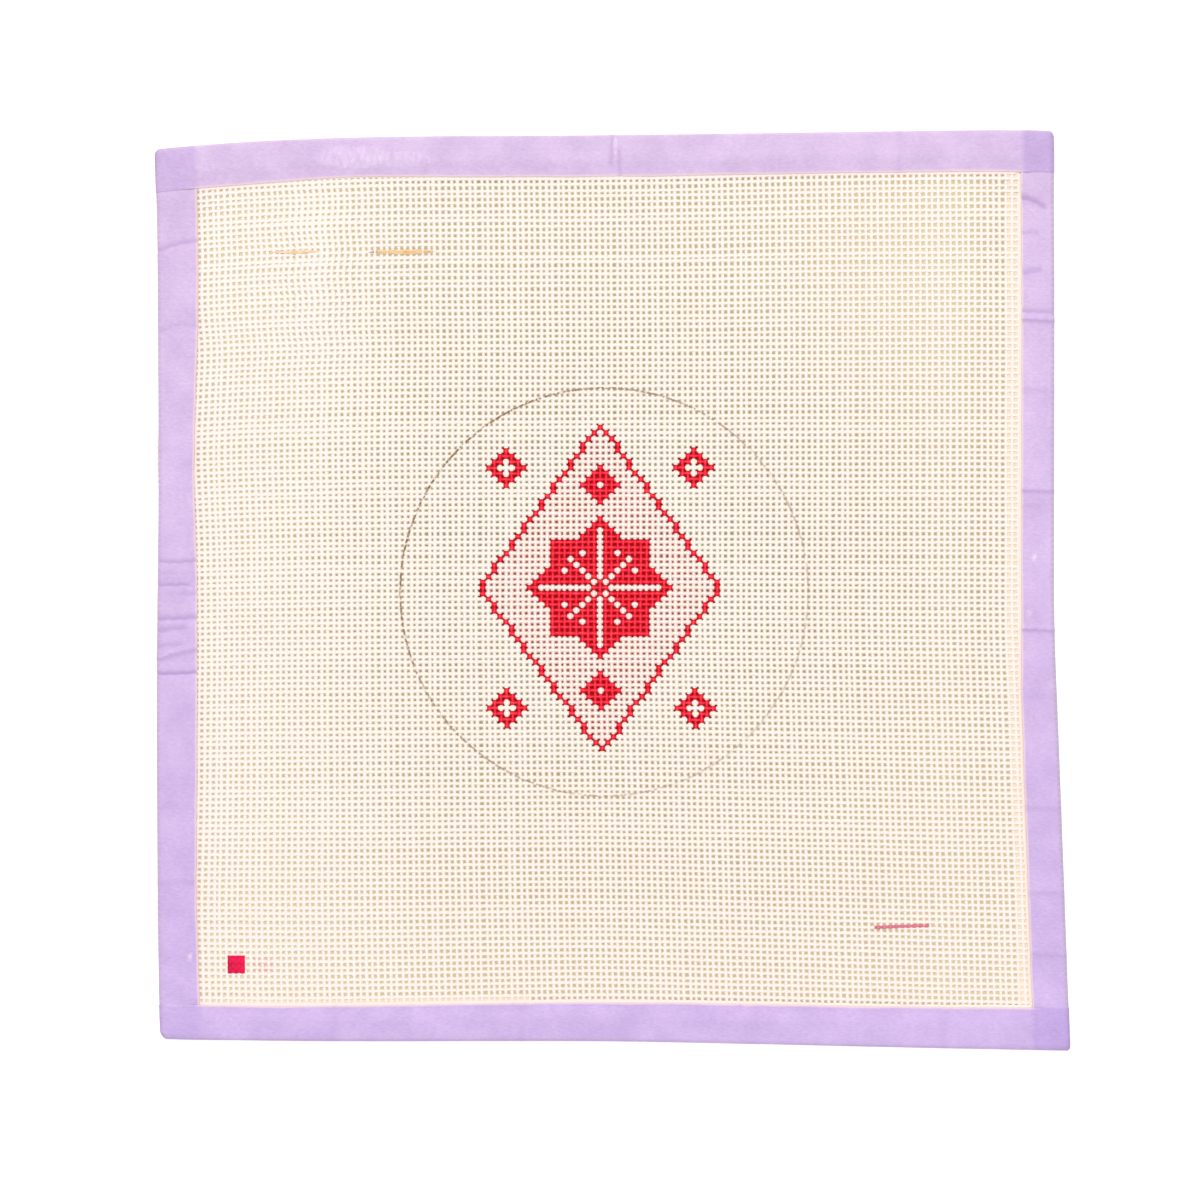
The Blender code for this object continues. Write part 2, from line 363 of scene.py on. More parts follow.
TABLE_SIDE, TABLE_STEPS = 3000.0, 8
table_x, table_y = square_grid(TABLE_SIDE, TABLE_STEPS)
table_points = np.stack([table_x, table_y, 0.0 * table_x], axis=-1)
table = mesh_object("table_top", table_points, [grid_faces(*table_x.shape)], [opal_acrylic()])
print("table top", TABLE_SIDE * MM, "m across")

# %% [markdown]
# Through the holes the photograph shows a tan to olive surface, not a white one: the white around
# the panel was cleaned up afterwards. So a sheet of buff paper lies under the panel. It ends under
# the binding, where it doesn't show, and it is part of the studio, not of the panel.
#
# How dark the holes look differs from place to place, and the paper gives it: it also lies there as
# painted shade under the holes. Part of its colour is a glow, painted light, which stands for the
# light that the cloth above passes down to it. It is darkest near the middle, paler further out,
# and darker again right beside the binding, where painted shadow of the tape takes the glow down.

# %% The sheet of buff paper
PAPER_SIDE, PAPER_STEPS = 203.0, 110
PAPER_HEIGHT = 0.05
# Painted light: the glow is weakest round the first place below and grows outwards. The spots make it
# stronger or, below 0, weaker.
DARK_MIDDLE = Corner(-12.0, 8.0)
PALE_LEAST, PALE_MORE, PALE_OVER = 0.04, 0.44, 100.0  # in the middle, how much more, over how many mm
PALE_PLACES = (  # amount: how much paler or, below 0, darker
    Spot(-79.0, 72.0, 20.0, 34.0, 0.2),
    Spot(-85.0, 2.0, 14.0, 60.0, 0.11),
    Spot(72.0, 68.0, 26.0, 24.0, 0.14),
    Spot(-78.0, -78.0, 24.0, 22.0, 0.08),
    Spot(62.0, 0.0, 36.0, 50.0, -0.12),
    Spot(70.0, -84.0, 60.0, 30.0, -0.15),
    Spot(0.0, 95.0, 110.0, 9.0, -0.08),
    Spot(90.0, 0.0, 7.0, 120.0, -0.15),
    Spot(93.0, 82.0, 7.0, 24.0, -0.25),
)
# Painted shadow of the tapes on the paper: how much darker, within how many mm of a tape.
DARK_BESIDE = {"top": (0.28, 3.2), "bottom": (0.2, 2.0), "left": (0.2, 3.2)}  # how much, within mm


def bare_distances(u, v):
    """How far a place lies in from the front edge of each tape, in mm."""
    return {side: depth - reach(side, u, v, FRONT) for side, depth in depths(u, v).items()}


def buff_paper():
    """Sugar paper: unbleached pulp, matt, faintly cloudy, with a glow of painted light."""
    material, tree, shader = new_material("buff_paper", 0.9, 1.45, 0.1)
    place = add_node(tree, "TexCoord", {}, "Object")
    pulp = add_node(tree, "TexNoise", {"Vector": place, "Scale": 60.0, "Detail": 4.0}, "Fac")
    tone = add_node(tree, "Mix", {"Factor": pulp, A: "#8E8C7E", B: "#989686"}, MIXED, data_type="RGBA")
    # Painted light: the glow stands for the light that the cloth above passes down to the paper.
    pale = add_node(tree, "Attribute", {}, "Fac", attribute_name="pale")
    glow = add_node(tree, "Mix", {"Factor": pale, A: "#6D6C5B", B: "#F2DDB8"}, MIXED, data_type="RGBA")
    tree.links.new(tone, shader.inputs["Base Color"])
    tree.links.new(glow, shader.inputs["Emission Color"])
    shader.inputs["Emission Strength"].default_value = 1.0
    return material


paper_x, paper_y = square_grid(PAPER_SIDE, PAPER_STEPS)
from_middle = np.hypot(paper_x - DARK_MIDDLE.x, paper_y - DARK_MIDDLE.y)
pale = PALE_LEAST + PALE_MORE * (from_middle / PALE_OVER) ** 1.5
for spot in PALE_PLACES:
    pale = pale + spot.amount * np.exp(-off_spot(spot, paper_x, paper_y))
paper_bare = bare_distances(*shares_at(paper_x, paper_y))
for side, (amount, within) in DARK_BESIDE.items():
    pale = pale - amount * (1.0 - eased(paper_bare[side] / within))
paper = mesh_object(
    "buff_paper", np.stack([paper_x, paper_y, 0.0 * paper_x], axis=-1),
    [grid_faces(*paper_x.shape)], [buff_paper()], pale=pale,
)
paper.location.z = PAPER_HEIGHT * MM
print("paper", PAPER_SIDE, "mm across")

# %% [markdown]
# ## The thread's finish
#
# Canvas thread is combed cotton, woven and then stiffened with starch size. Cotton is pale and
# cloudy, so light bounces between the threads and comes out of the holes warmer than it went in.
# That light is painted into the colour: the sides of the threads are a warmer cream than their
# crests. The size glues the hairs down and leaves a dull skin, so roughness is high and there is
# hardly any shine.
#
# The ring around the design was drawn with a soft pencil and a compass. Graphite only rubs off on
# the tops of the threads, and skips, so the line is a string of brownish dashes. It is worked out
# from the distance to the ring's centre.

# %% Sized cotton, with the pencil ring drawn on it
MESH_COUNT = 18  # threads to the inch
PITCH = 25.4 / MESH_COUNT  # mm from thread to thread
RING_CENTRE = Corner(-1.95, -0.24)
RING_RADIUS, RING_WIDTH = 48.45, 0.62
STRONG_SIDE = math.radians(150)  # the compass was pressed hardest at the upper left
SOFT_TURN = (0.25, 0.25, 1.0)  # light spreads inside a thread, so its tone turns less than its shape


def sized_cotton():
    """Combed cotton under starch: cloudy cream, IOR 1.5, roughness 0.75, hardly any shine."""
    material, tree, shader = new_material("sized_cotton", 0.75, 1.5, 0.25)
    place = add_node(tree, "TexCoord", {}, "Object")
    normal = add_node(tree, "NewGeometry", {}, "Normal")
    crest = add_node(tree, "SeparateXYZ", {"Vector": normal}, "Z")

    # Yarn differs a little in tone over a couple of centimetres.
    drift = add_node(tree, "TexNoise", {"Vector": place, "Scale": 45.0, "Detail": 3.0}, "Fac")
    cream = add_node(tree, "Mix", {"Factor": drift, A: "#F0E4DE", B: "#F4E9E3"}, MIXED, data_type="RGBA")
    # Painted light: a thread's shoulders, then sides, are warmer, lit through other threads.
    for steepest, flattest, tint in ((0.55, 0.95, "#F1E4D4"), (0.1, 0.55, "#F3E2C8")):
        lit_through = add_node(tree, "MapRange", {
            "Value": crest, "From Min": steepest, "From Max": flattest, "To Min": 1.0, "To Max": 0.0})
        cream = add_node(tree, "Mix", {"Factor": lit_through, A: cream, B: tint}, MIXED, data_type="RGBA")
    # Threads within about a thread's width of a tape are tinted faintly pink.
    stain = add_node(tree, "Attribute", {}, "Fac", attribute_name="glue_stain")
    cream = add_node(tree, "Mix", {"Factor": stain, A: cream, B: "#F5DED8"}, MIXED, data_type="RGBA")

    # The pencil line: distance in plan from the ring.
    centre = (RING_CENTRE.x * MM, RING_CENTRE.y * MM, 0.0)
    in_plan = add_node(tree, "VectorMath", {0: place, 1: (1, 1, 0)}, operation="MULTIPLY")
    spoke = add_node(tree, "VectorMath", {0: in_plan, 1: centre}, operation="SUBTRACT")
    radius = add_node(tree, "VectorMath", {0: spoke}, "Value", operation="LENGTH")
    off_line = add_node(tree, "Math", {0: radius, 1: RING_RADIUS * MM}, operation="SUBTRACT")
    off_line = add_node(tree, "Math", {0: off_line}, operation="ABSOLUTE")
    on_line = add_node(tree, "MapRange", {
        "Value": off_line, "From Min": 0.2 * RING_WIDTH * MM, "From Max": 0.6 * RING_WIDTH * MM,
        "To Min": 1.0, "To Max": 0.0})
    # Its pressure, which falls off away from the strong side.
    strong_way = (math.cos(STRONG_SIDE), math.sin(STRONG_SIDE), 0.0)
    facing = add_node(tree, "VectorMath", {0: spoke, 1: strong_way}, "Value", operation="DOT_PRODUCT")
    pressure = add_node(tree, "MapRange", {
        "Value": facing, "From Min": -0.9 * RING_RADIUS * MM, "From Max": RING_RADIUS * MM,
        "To Min": 0.4, "To Max": 1.0})
    # Its skips, about as long as a thread is wide.
    grit = add_node(tree, "TexNoise", {"Vector": place, "Scale": 1.7 / (PITCH * MM), "Detail": 2.0}, "Fac")
    kept = add_node(tree, "MapRange", {"Value": grit, "From Min": 0.38, "From Max": 0.54})
    strength = add_node(tree, "Math", {0: on_line, 1: pressure}, operation="MULTIPLY")
    strength = add_node(tree, "Math", {0: strength, 1: kept}, operation="MULTIPLY")
    drawn = add_node(tree, "Mix", {"Factor": strength, A: cream, B: "#8A6430"}, MIXED, data_type="RGBA")
    tree.links.new(drawn, shader.inputs["Base Color"])

    # Plies of a real thread turn about every 0.5 mm. Drawn at that size they just roughen its edge.
    plies = add_node(tree, "TexNoise", {"Vector": place, "Scale": 2200.0, "Detail": 2.0}, "Fac")
    soft = add_node(tree, "VectorMath", {0: normal, 1: SOFT_TURN}, operation="MULTIPLY")
    soft = add_node(tree, "VectorMath", {0: soft}, operation="NORMALIZE")
    bump = add_node(tree, "Bump", {"Height": plies, "Strength": 0.35, "Distance": 0.0001, "Normal": soft})
    tree.links.new(bump, shader.inputs["Normal"])
    return material


COTTON = sized_cotton()
print("thread pitch %.3f mm, ring %.1f mm across" % (PITCH, 2 * RING_RADIUS))

# %% [markdown]
# ## The paint
#
# The design on a needlepoint canvas is painted by hand with acrylics, one dab for each place where
# two threads cross, so that the stitcher can count. Acrylic is a plastic skin full of pigment. It
# is paler where it lies thin, on the crests, and deeper where it has pooled between them. Here the
# colour goes further than that: a painted highlight on the crests, and painted shade on the sides
# and where a thread dips. It dries a little glossier than the starched cotton. It also soaks
# through and stains the sides of the holes browner, so each paint has a second finish for what has
# soaked in, which is darker still as painted shade in the holes.

# %% Acrylic paints
def acrylic(name, crest_hex, pooled_hex, roughness):
    """Acrylic on cotton, IOR 1.5, satin: painted highlight on thin crests, painted shade where pooled."""
    material, tree, shader = new_material(name, roughness, 1.5, 0.2)
    place = add_node(tree, "TexCoord", {}, "Object")
    normal = add_node(tree, "NewGeometry", {}, "Normal")
    upward = add_node(tree, "SeparateXYZ", {"Vector": normal}, "Z")
    dabs = add_node(tree, "TexNoise", {"Vector": place, "Scale": 0.9 / (PITCH * MM), "Detail": 2.0}, "Fac")
    uneven = add_node(tree, "Math", {0: dabs, 1: 0.3, 2: -0.15}, operation="MULTIPLY_ADD")
    bare = add_node(tree, "Math", {0: upward, 1: uneven}, operation="ADD")
    # Painted light and shade: lighter on up-facing crests, darker on the sides and where a thread dips.
    sunk = add_node(tree, "Attribute", {}, "Fac", attribute_name="sunk")
    bare = add_node(tree, "Math", {0: sunk, 1: -0.2, 2: bare}, operation="MULTIPLY_ADD")
    thin = add_node(tree, "MapRange", {"Value": bare, "From Min": 0.78, "From Max": 1.02})
    tone = add_node(tree, "Mix", {"Factor": thin, A: pooled_hex, B: crest_hex}, MIXED, data_type="RGBA")
    tree.links.new(tone, shader.inputs["Base Color"])
    return material


RED_ACRYLIC = acrylic("red_acrylic", "#FF3E58", "#DE0820", 0.4)
# Painted shade: the soaked-through finishes are darker copies, for the undersides of the threads.
RED_SOAKED = acrylic("red_acrylic_soaked_through", "#B80C1A", "#7A0610", 0.7)
BLUSH_ACRYLIC = acrylic("blush_acrylic", "#FAE9E7", "#F4D8CE", 0.6)
BLUSH_SOAKED = acrylic("blush_acrylic_soaked_through", "#C98E66", "#A0673E", 0.75)
print("paints:", RED_ACRYLIC.name, BLUSH_ACRYLIC.name)

# %% [markdown]
# ## Where the threads cross
#
# Counting holes gives about 150 spaces across and 154 up. The threads don't stand evenly: they are
# closer in the middle, where the paint has drawn them in, and at the far left. Weavers call the
# upright threads the warp and the crosswise ones the weft.
#
# `crossings` lays out every crossing in one grid of numbers. Real threads wander, so each is moved
# by a little of its own, and by a slow wave along its length. Both sets of threads use the same
# grid, so however it is bent, they still cross where they should.

# %% The grid of crossings
SPACES_ACROSS, SPACES_UP = 150.75, 154.4
WARP_THREADS, WEFT_THREADS = 149, 153
FIRST_WARP, FIRST_WEFT = 0.93, 1.2  # places of the first threads, in spaces from the outline
STRAY, WAVE = 0.035, 0.03  # spaces: how far a thread strays, and the height of its slow wave

# Columns: the share of the way along, and the space between two threads there against the mean.
SPACING_ACROSS = ((0.0, 0.97), (0.1, 0.985), (0.21, 1.012), (0.32, 1.0), (0.48, 0.983),
                  (0.65, 0.995), (0.77, 1.01), (0.9, 1.03), (1.0, 1.04))
SPACING_UP = ((0.0, 1.04), (0.1, 1.03), (0.22, 1.0), (0.45, 0.975), (0.6, 0.975), (0.8, 1.01), (1.0, 1.03))

# The binding has pulled the cloth about a little. Columns: the share of the way along the side, and
# how far the threads beside it lie to the right (left side) or up (bottom and top), in mm.
PULLS = {
    "left": ((0.0, -0.5), (0.09, -0.65), (0.15, -0.7), (0.26, 0.25), (0.36, 0.7), (0.44, 0.95),
             (0.54, 0.42), (0.6, -0.37), (0.655, -0.95), (0.71, -0.3), (0.77, 0.45), (0.82, -0.6),
             (0.88, -0.3), (0.935, -0.5), (1.0, -0.3)),
    "bottom": ((0.0, -0.3), (0.13, -0.4), (0.28, 0.05), (0.38, 0.45), (0.5, 0.8), (1.0, 0.8)),
    "top": ((0.0, -0.45), (0.15, -0.25), (0.3, 0.0), (0.6, 0.05), (0.7, 0.4), (1.0, 0.45)),
}
PULL_FADE = 0.16  # share of the way across over which a pull dies down
# A ripple at the upper left pushes the threads sideways into a gentle wave. Here all are shares.
RIPPLE = Spot(0.17, 0.86, 0.07, 0.13, 0.0014)
RIPPLE_LENGTH = 0.055

rng = np.random.default_rng(18)


def share_at(place, spaces, rows):
    """The share of the way along at a place that is counted in spaces from the outline."""
    shares = np.linspace(0.0, 1.0, 401)
    passed = np.cumsum(1.0 / read(rows, (shares[1:] + shares[:-1]) / 2))
    return np.interp(place, np.concatenate([[0.0], passed]) * spaces / passed[-1], shares)


def wander(threads, crossed):
    """How far each thread strays at each crossing, in spaces: one row for each thread."""
    stray = rng.normal(0.0, STRAY, (threads, 1)).repeat(crossed, axis=1)
    along = np.linspace(0.0, 1.0, crossed)[None, :]
    turns = rng.uniform(2.0, 7.0, (threads, 1))
    start = rng.uniform(0.0, 2 * math.pi, (threads, 1))
    return stray + WAVE * np.sin(2 * math.pi * turns * along + start)


def crossings():
    """The shares across and up of every crossing, and its place in mm: warp first, weft second."""
    warp_place = FIRST_WARP + np.arange(WARP_THREADS)[:, None] + wander(WARP_THREADS, WEFT_THREADS)
    weft_place = FIRST_WEFT + np.arange(WEFT_THREADS)[None, :] + wander(WEFT_THREADS, WARP_THREADS).T
    u = share_at(warp_place, SPACES_ACROSS, SPACING_ACROSS)
    v = share_at(weft_place, SPACES_UP, SPACING_UP)
    u = u + read(PULLS["left"], v) / row_length(0.5) * np.exp(-u / PULL_FADE)
    pulled_up = read(PULLS["bottom"], u) * np.exp(-v / PULL_FADE)
    pulled_up = pulled_up + read(PULLS["top"], u) * np.exp(-(1 - v) / PULL_FADE)
    v = v + pulled_up / column_height(0.5)
    rippled = RIPPLE.amount * np.exp(-off_spot(RIPPLE, u, v))
    u = u + rippled * np.sin(2 * math.pi * (v - RIPPLE.y) / RIPPLE_LENGTH)
    return u, v, np.stack([*plan(u, v), middle_height(u, v)], axis=-1)


CROSS_U, CROSS_V, CROSS = crossings()
print("crossings:", CROSS.shape[0], "by", CROSS.shape[1])

# %% [markdown]
# ## The chart
#
# A charted design is a little map of which crossings get which paint. This one is generic: an
# upright stepped lozenge, outlined one thread wide, with an eight-pointed star in it, and small
# diamonds around. Stars of this kind are among the oldest motifs of counted work, because they come
# straight out of the grid: a square and a turned square laid over each other. So the chart needs no
# picture. It is a rule about how far a crossing lies from the middle.

# %% Which paint a crossing gets
BARE, RED, BLUSH = 0, 1, 2
DESIGN_CENTRE = Corner(-2.8, 0.2)
# All in threads from the design's centre:
LOZENGE = Corner(20.5, 28.5)
STAR_SQUARE, STAR_TURNED = 8, 12
TIP_DIAMOND, OUTER_DIAMOND, DIAMOND_SIZE = Corner(0, 18), Corner(16, 21), 3
DOTS_OUT, DOTS_ASIDE = 9, 3


def chart(i, j):
    """The paint at the crossing i threads to a side of the design's centre and j above or below."""
    i, j = np.abs(i), np.abs(j)
    across = np.round(LOZENGE.x * (1.0 - j / LOZENGE.y))
    next_across = np.round(LOZENGE.x * (1.0 - (j + 1.0) / LOZENGE.y))
    outline = (i <= across) & (i >= np.minimum(across, next_across + 1)) & (j <= LOZENGE.y)
    star = (np.maximum(i, j) <= STAR_SQUARE) | (i + j <= STAR_TURNED)
    petals = star & ((i == j) | (i == 0) | (j == 0)) & (i + j >= 2) & (i + j <= STAR_TURNED - 2)
    dots = (i + j == DOTS_OUT) & (np.minimum(i, j) == DOTS_ASIDE)
    at_tip = np.abs(i - TIP_DIAMOND.x) + np.abs(j - TIP_DIAMOND.y)
    at_outer = np.abs(i - OUTER_DIAMOND.x) + np.abs(j - OUTER_DIAMOND.y)
    paint = np.full(at_tip.shape, BARE)
    for where, colour in (
        (i / LOZENGE.x + j / LOZENGE.y <= 1.0, BLUSH), (outline, RED),
        (star, RED), (petals, BLUSH), (dots, BLUSH),
        (at_tip <= DIAMOND_SIZE, RED), (at_tip == 0, BLUSH),
        (at_outer <= DIAMOND_SIZE, RED), (at_outer <= 1, BARE),
    ):
        paint = np.where(where, colour, paint)
    return paint


def nearest_crossing(place):
    away = (CROSS[..., 0] - place.x) ** 2 + (CROSS[..., 1] - place.y) ** 2
    return np.unravel_index(np.argmin(away), away.shape)


middle_warp, middle_weft = nearest_crossing(DESIGN_CENTRE)
PAINT = chart(
    np.arange(WARP_THREADS)[:, None] - middle_warp, np.arange(WEFT_THREADS)[None, :] - middle_weft
)

# Two squares at the lower left show which colours the chart uses: the red one is three threads
# each way, the blush one three by two. The red one is a skin of its own, made further on.
KEY_RED, KEY_BLUSH = Corner(-89.35, -88.65), Corner(-83.35, -88.65)
KEY_HALF = 1
IN_KEY = np.zeros(PAINT.shape, bool)
for key_place, threads_above, key_paint in ((KEY_RED, KEY_HALF, BARE), (KEY_BLUSH, 0, BLUSH)):
    warp, weft = nearest_crossing(key_place)
    square = np.s_[warp - KEY_HALF : warp + KEY_HALF + 1, weft - KEY_HALF : weft + threads_above + 1]
    IN_KEY[square] = True
    PAINT[square] = key_paint
print("painted crossings: red", int((PAINT == RED).sum()), "blush", int((PAINT == BLUSH).sum()))

# %% [markdown]
# ## Weaving
#
# A thread is a flattened tube. It rises over one thread and dips under the next, and its
# neighbours do the opposite. Four points make each ring of the tube: with smooth shading that reads
# as round even from close up, and it keeps three hundred threads within reach. There is a ring at
# every crossing, where the thread is highest or lowest, and one between, level with the middle.

# %% Threads as tubes
THREAD_HALF_WIDTH = 0.36 * PITCH
THREAD_HALF_THICKNESS = 0.17 * PITCH
RISE = 0.035 * PITCH  # how far a thread's middle rises over another
THREAD_TOP = RISE + THREAD_HALF_THICKNESS
SIDES = 4
FLATTENED = Spot(0.175, 0.84, 0.05, 0.13, 0.2)  # shares; the threads lie flatter in the ripple
WIDER_LEFT, LEFT_FROM, LEFT_OVER = 0.17, 0.05, 0.35  # how much, and the shares across where it fades
WIDER_RIGHT, RIGHT_FROM, RIGHT_OVER = 0.1, 0.93, 0.03
LESS_AT_TOP = 0.2  # how much less of it there is at the top


def thread_width(u, v):
    """Threads lie flatter, and so wider, at the left, in the ripple there and at the far right."""
    at_left = 1.0 - eased((u - LEFT_FROM) / LEFT_OVER)
    at_right = eased((u - RIGHT_FROM) / RIGHT_OVER)
    rippled = FLATTENED.amount * np.exp(-off_spot(FLATTENED, u, v))
    return 1.0 + rippled + WIDER_LEFT * at_left * (1.0 - LESS_AT_TOP * v) + WIDER_RIGHT * at_right


def between(values):
    """The values at the crossings, with the middle of each two neighbours between them."""
    filled = np.empty((values.shape[0], 2 * values.shape[1] - 1, *values.shape[2:]))
    filled[:, 0::2] = values
    filled[:, 1::2] = (values[:, :-1] + values[:, 1:]) / 2
    return filled


def tubes(centres, half_widths):
    """Points of the rings around each thread. centres is (threads, rings, 3)."""
    ahead = np.gradient(centres, axis=1)
    ahead /= np.linalg.norm(ahead, axis=-1, keepdims=True)
    sideways = np.cross(ahead, (0.0, 0.0, 1.0))
    sideways /= np.linalg.norm(sideways, axis=-1, keepdims=True)
    upwards = np.cross(sideways, ahead)
    turn = (2 * math.pi * np.arange(SIDES) / SIDES)[:, None]
    return (
        centres[:, :, None, :]
        + np.cos(turn) * sideways[:, :, None, :] * half_widths[..., None, None]
        + np.sin(turn) * upwards[:, :, None, :] * THREAD_HALF_THICKNESS
    )


def tube_faces(tube_count, rings, sides):
    """Four-cornered faces between the rings of tubes, and one face at each end of each tube."""
    start = np.arange(tube_count)[:, None, None] * rings * sides
    ring = start + np.arange(rings - 1)[None, :, None] * sides
    side = np.arange(sides)
    after = (side + 1) % sides
    walls = np.stack([ring + side, ring + after, ring + sides + after, ring + sides + side], axis=-1)
    caps = np.concatenate([start[:, 0] + side[::-1], start[:, 0] + (rings - 1) * sides + side])
    return walls.reshape(-1, 4), caps


print("a thread is %.2f mm wide and %.2f mm thick" % (2 * THREAD_HALF_WIDTH, 2 * THREAD_HALF_THICKNESS))

# %% [markdown]
# Plain weave is a rule about odd and even: where the numbers of the warp thread and the weft thread
# add up to an even number, the warp is on top. Each thread has a width of its own, and swells where
# it crosses another. The paint goes on here too. Each crossing's paint becomes the material of the
# faces round it, so the dabs are as square as those on a real canvas.
#
# The threads are kept whole from edge to edge. Only the object is divided, left from right for the
# warp and lower from upper for the weft, so that no one mesh is too heavy.

# %% The woven canvas
CROSSING_SWELL, BETWEEN_SWELL = 1.24, 0.87  # size gathers at crossings, which rounds the holes
OWN_WIDTH, OWN_UNEVENNESS = 0.05, 0.035  # how far widths differ from thread to thread, and along one
OWN_LEAST, OWN_MOST = 0.86, 1.16
SOAKED = {BARE: 0, RED: 3, BLUSH: 4}
THREAD_MATERIALS = [COTTON, RED_ACRYLIC, BLUSH_ACRYLIC, RED_SOAKED, BLUSH_SOAKED]
GLUE_STAIN, GLUE_SHOWS = 0.8, 0.9  # how strong the pink tint beside a tape is, and for how many mm it shows


def weave(name, chosen, over_first, is_weft):
    """One mesh of the chosen threads. Warp threads run along the grid's second axis."""
    grids = (CROSS, CROSS_U, CROSS_V, PAINT, IN_KEY)
    if is_weft:
        grids = [np.swapaxes(grid, 0, 1) for grid in grids]
    cross, u, v, paint, in_key = (grid[chosen] for grid in grids)
    threads, crossed = u.shape
    count = np.arange(threads)[:, None] + chosen.start + np.arange(crossed)[None, :]
    over = np.where(count % 2 == over_first, 1.0, -1.0)
    centres = between(cross)
    centres[:, 0::2, 2] += RISE * over
    own_width = rng.normal(1.0, OWN_WIDTH, (threads, 1)) * rng.normal(1.0, OWN_UNEVENNESS, u.shape)
    own_width = np.clip(own_width, OWN_LEAST, OWN_MOST)
    widths = between(THREAD_HALF_WIDTH * thread_width(u, v) * own_width)
    widths[:, 0::2] *= CROSSING_SWELL
    widths[:, 1::2] *= BETWEEN_SWELL
    rings = centres.shape[1]
    walls, caps = tube_faces(threads, rings, SIDES)
    # The wall between two rings belongs to the crossing on whose side of the middle it lies. Its
    # top wears the paint, and its underside what has soaked through, darkened as painted shade; but
    # the key's paint is thick.
    belongs = (np.arange(rings - 1) + 1) // 2
    wall_paint = paint[:, belongs][:, :, None].repeat(SIDES, axis=2)
    kept = (np.arange(SIDES) < SIDES // 2) | in_key[:, belongs][:, :, None]
    wall_material = np.where(kept, wall_paint, np.vectorize(SOAKED.get)(wall_paint)).ravel()
    bare = np.minimum.reduce(list(bare_distances(u, v).values()))
    piece = mesh_object(
        name, tubes(centres, widths), [walls, caps], THREAD_MATERIALS,
        np.concatenate([wall_material, np.zeros(len(caps), int)]),
        glue_stain=between(GLUE_STAIN * (1.0 - eased(bare / GLUE_SHOWS)))[:, :, None],
        sunk=between(0.5 - 0.5 * over)[:, :, None],
    )
    print(name, threads, "threads,", 2 * len(walls) + 2 * len(caps), "triangles")
    return piece


HALF_WARP, HALF_WEFT = WARP_THREADS // 2, WEFT_THREADS // 2
warp_left = weave("warp_left", slice(0, HALF_WARP), 0, False)
warp_right = weave("warp_right", slice(HALF_WARP, WARP_THREADS), 0, False)
weft_lower = weave("weft_lower", slice(0, HALF_WEFT), 1, True)
weft_upper = weave("weft_upper", slice(HALF_WEFT, WEFT_THREADS), 1, True)

# %% [markdown]
# ## What fills some of the holes
#
# Paint runs into the holes, and where there was plenty of it, it has dried across the back of them
# as a thin dark skin: deep red behind the red, brown behind the blush. The skin is darker than the
# paint, as painted shade in the holes. The pale square of the colour key was dabbed on so thickly
# that its holes are full. At the right-hand edge something else shows in the holes, the
# peach-coloured glue of the tape's hidden half, which reaches further in than the half in front. A
# film is made from the same grid of crossings: each hole has four of them for its corners.

# %% Films across the holes
def holes_between(grid):
    """The values at the four corners of each hole."""
    return np.stack([grid[:-1, :-1], grid[1:, :-1], grid[1:, 1:], grid[:-1, 1:]])


def film(name, holes, level, materials, which=None):
    """A film across the chosen holes, at a height over the threads' middle, in mm."""
    numbers = np.arange(CROSS_U.size).reshape(CROSS_U.shape)
    used, faces = np.unique(holes_between(numbers)[:, holes].T, return_inverse=True)
    points = (CROSS + (0.0, 0.0, level)).reshape(-1, 3)[used]
    face_material = None if which is None else which[holes]
    piece = mesh_object(name, points, [faces.reshape(-1, 4)], materials, face_material)
    print(name, "closes", int(holes.sum()), "holes")
    return piece


PAINT_BEHIND_LEVEL, KEY_BLUSH_LEVEL, GLUE_LEVEL = -0.16, -0.05, 0.05
# Painted shade: these skins are darker than the paints on the threads.
RED_BEHIND = acrylic("red_acrylic_behind", "#7C1412", "#5A0A08", 0.6)
BLUSH_BEHIND = acrylic("blush_acrylic_behind", "#A9603A", "#8A4A2A", 0.7)
BLUSH_POOLED = acrylic("blush_acrylic_pooled", "#F8BCAE", "#F0A494", 0.6)
red_corners = (holes_between(PAINT) == RED).sum(axis=0)
blush_corners = (holes_between(PAINT) == BLUSH).sum(axis=0)
beside_key = holes_between(IN_KEY).any(axis=0)
painted = ((red_corners > 0) | (blush_corners > 1)) & ~beside_key
behind = np.where(red_corners > 0, 0, 1)
paint_behind = film("paint_behind", painted, PAINT_BEHIND_LEVEL, [RED_BEHIND, BLUSH_BEHIND], behind)
key_blush_film = film("key_blush_film", beside_key & (blush_corners > 0), KEY_BLUSH_LEVEL, [BLUSH_POOLED])

# %% [markdown]
# ## The tape's finish
#
# The binding is crepe tape: a thin cotton-and-paper cloth, pulled into tiny puckers when it was
# made and dyed lavender, with a film of glue behind. Two things give it away. It is a little
# see-through, so it looks darker and bluer where it lies over another tape than where it lies over
# white canvas. And it is soft enough to take the print of the threads under it, most of all along
# the folded edge.

# %% Lavender crepe tape
CREPE_PITCH = 0.55  # mm from pucker to pucker
BANDS = 2 * math.pi / (20.0 * PITCH * MM)  # the scale that gives a Wave texture a thread's spacing


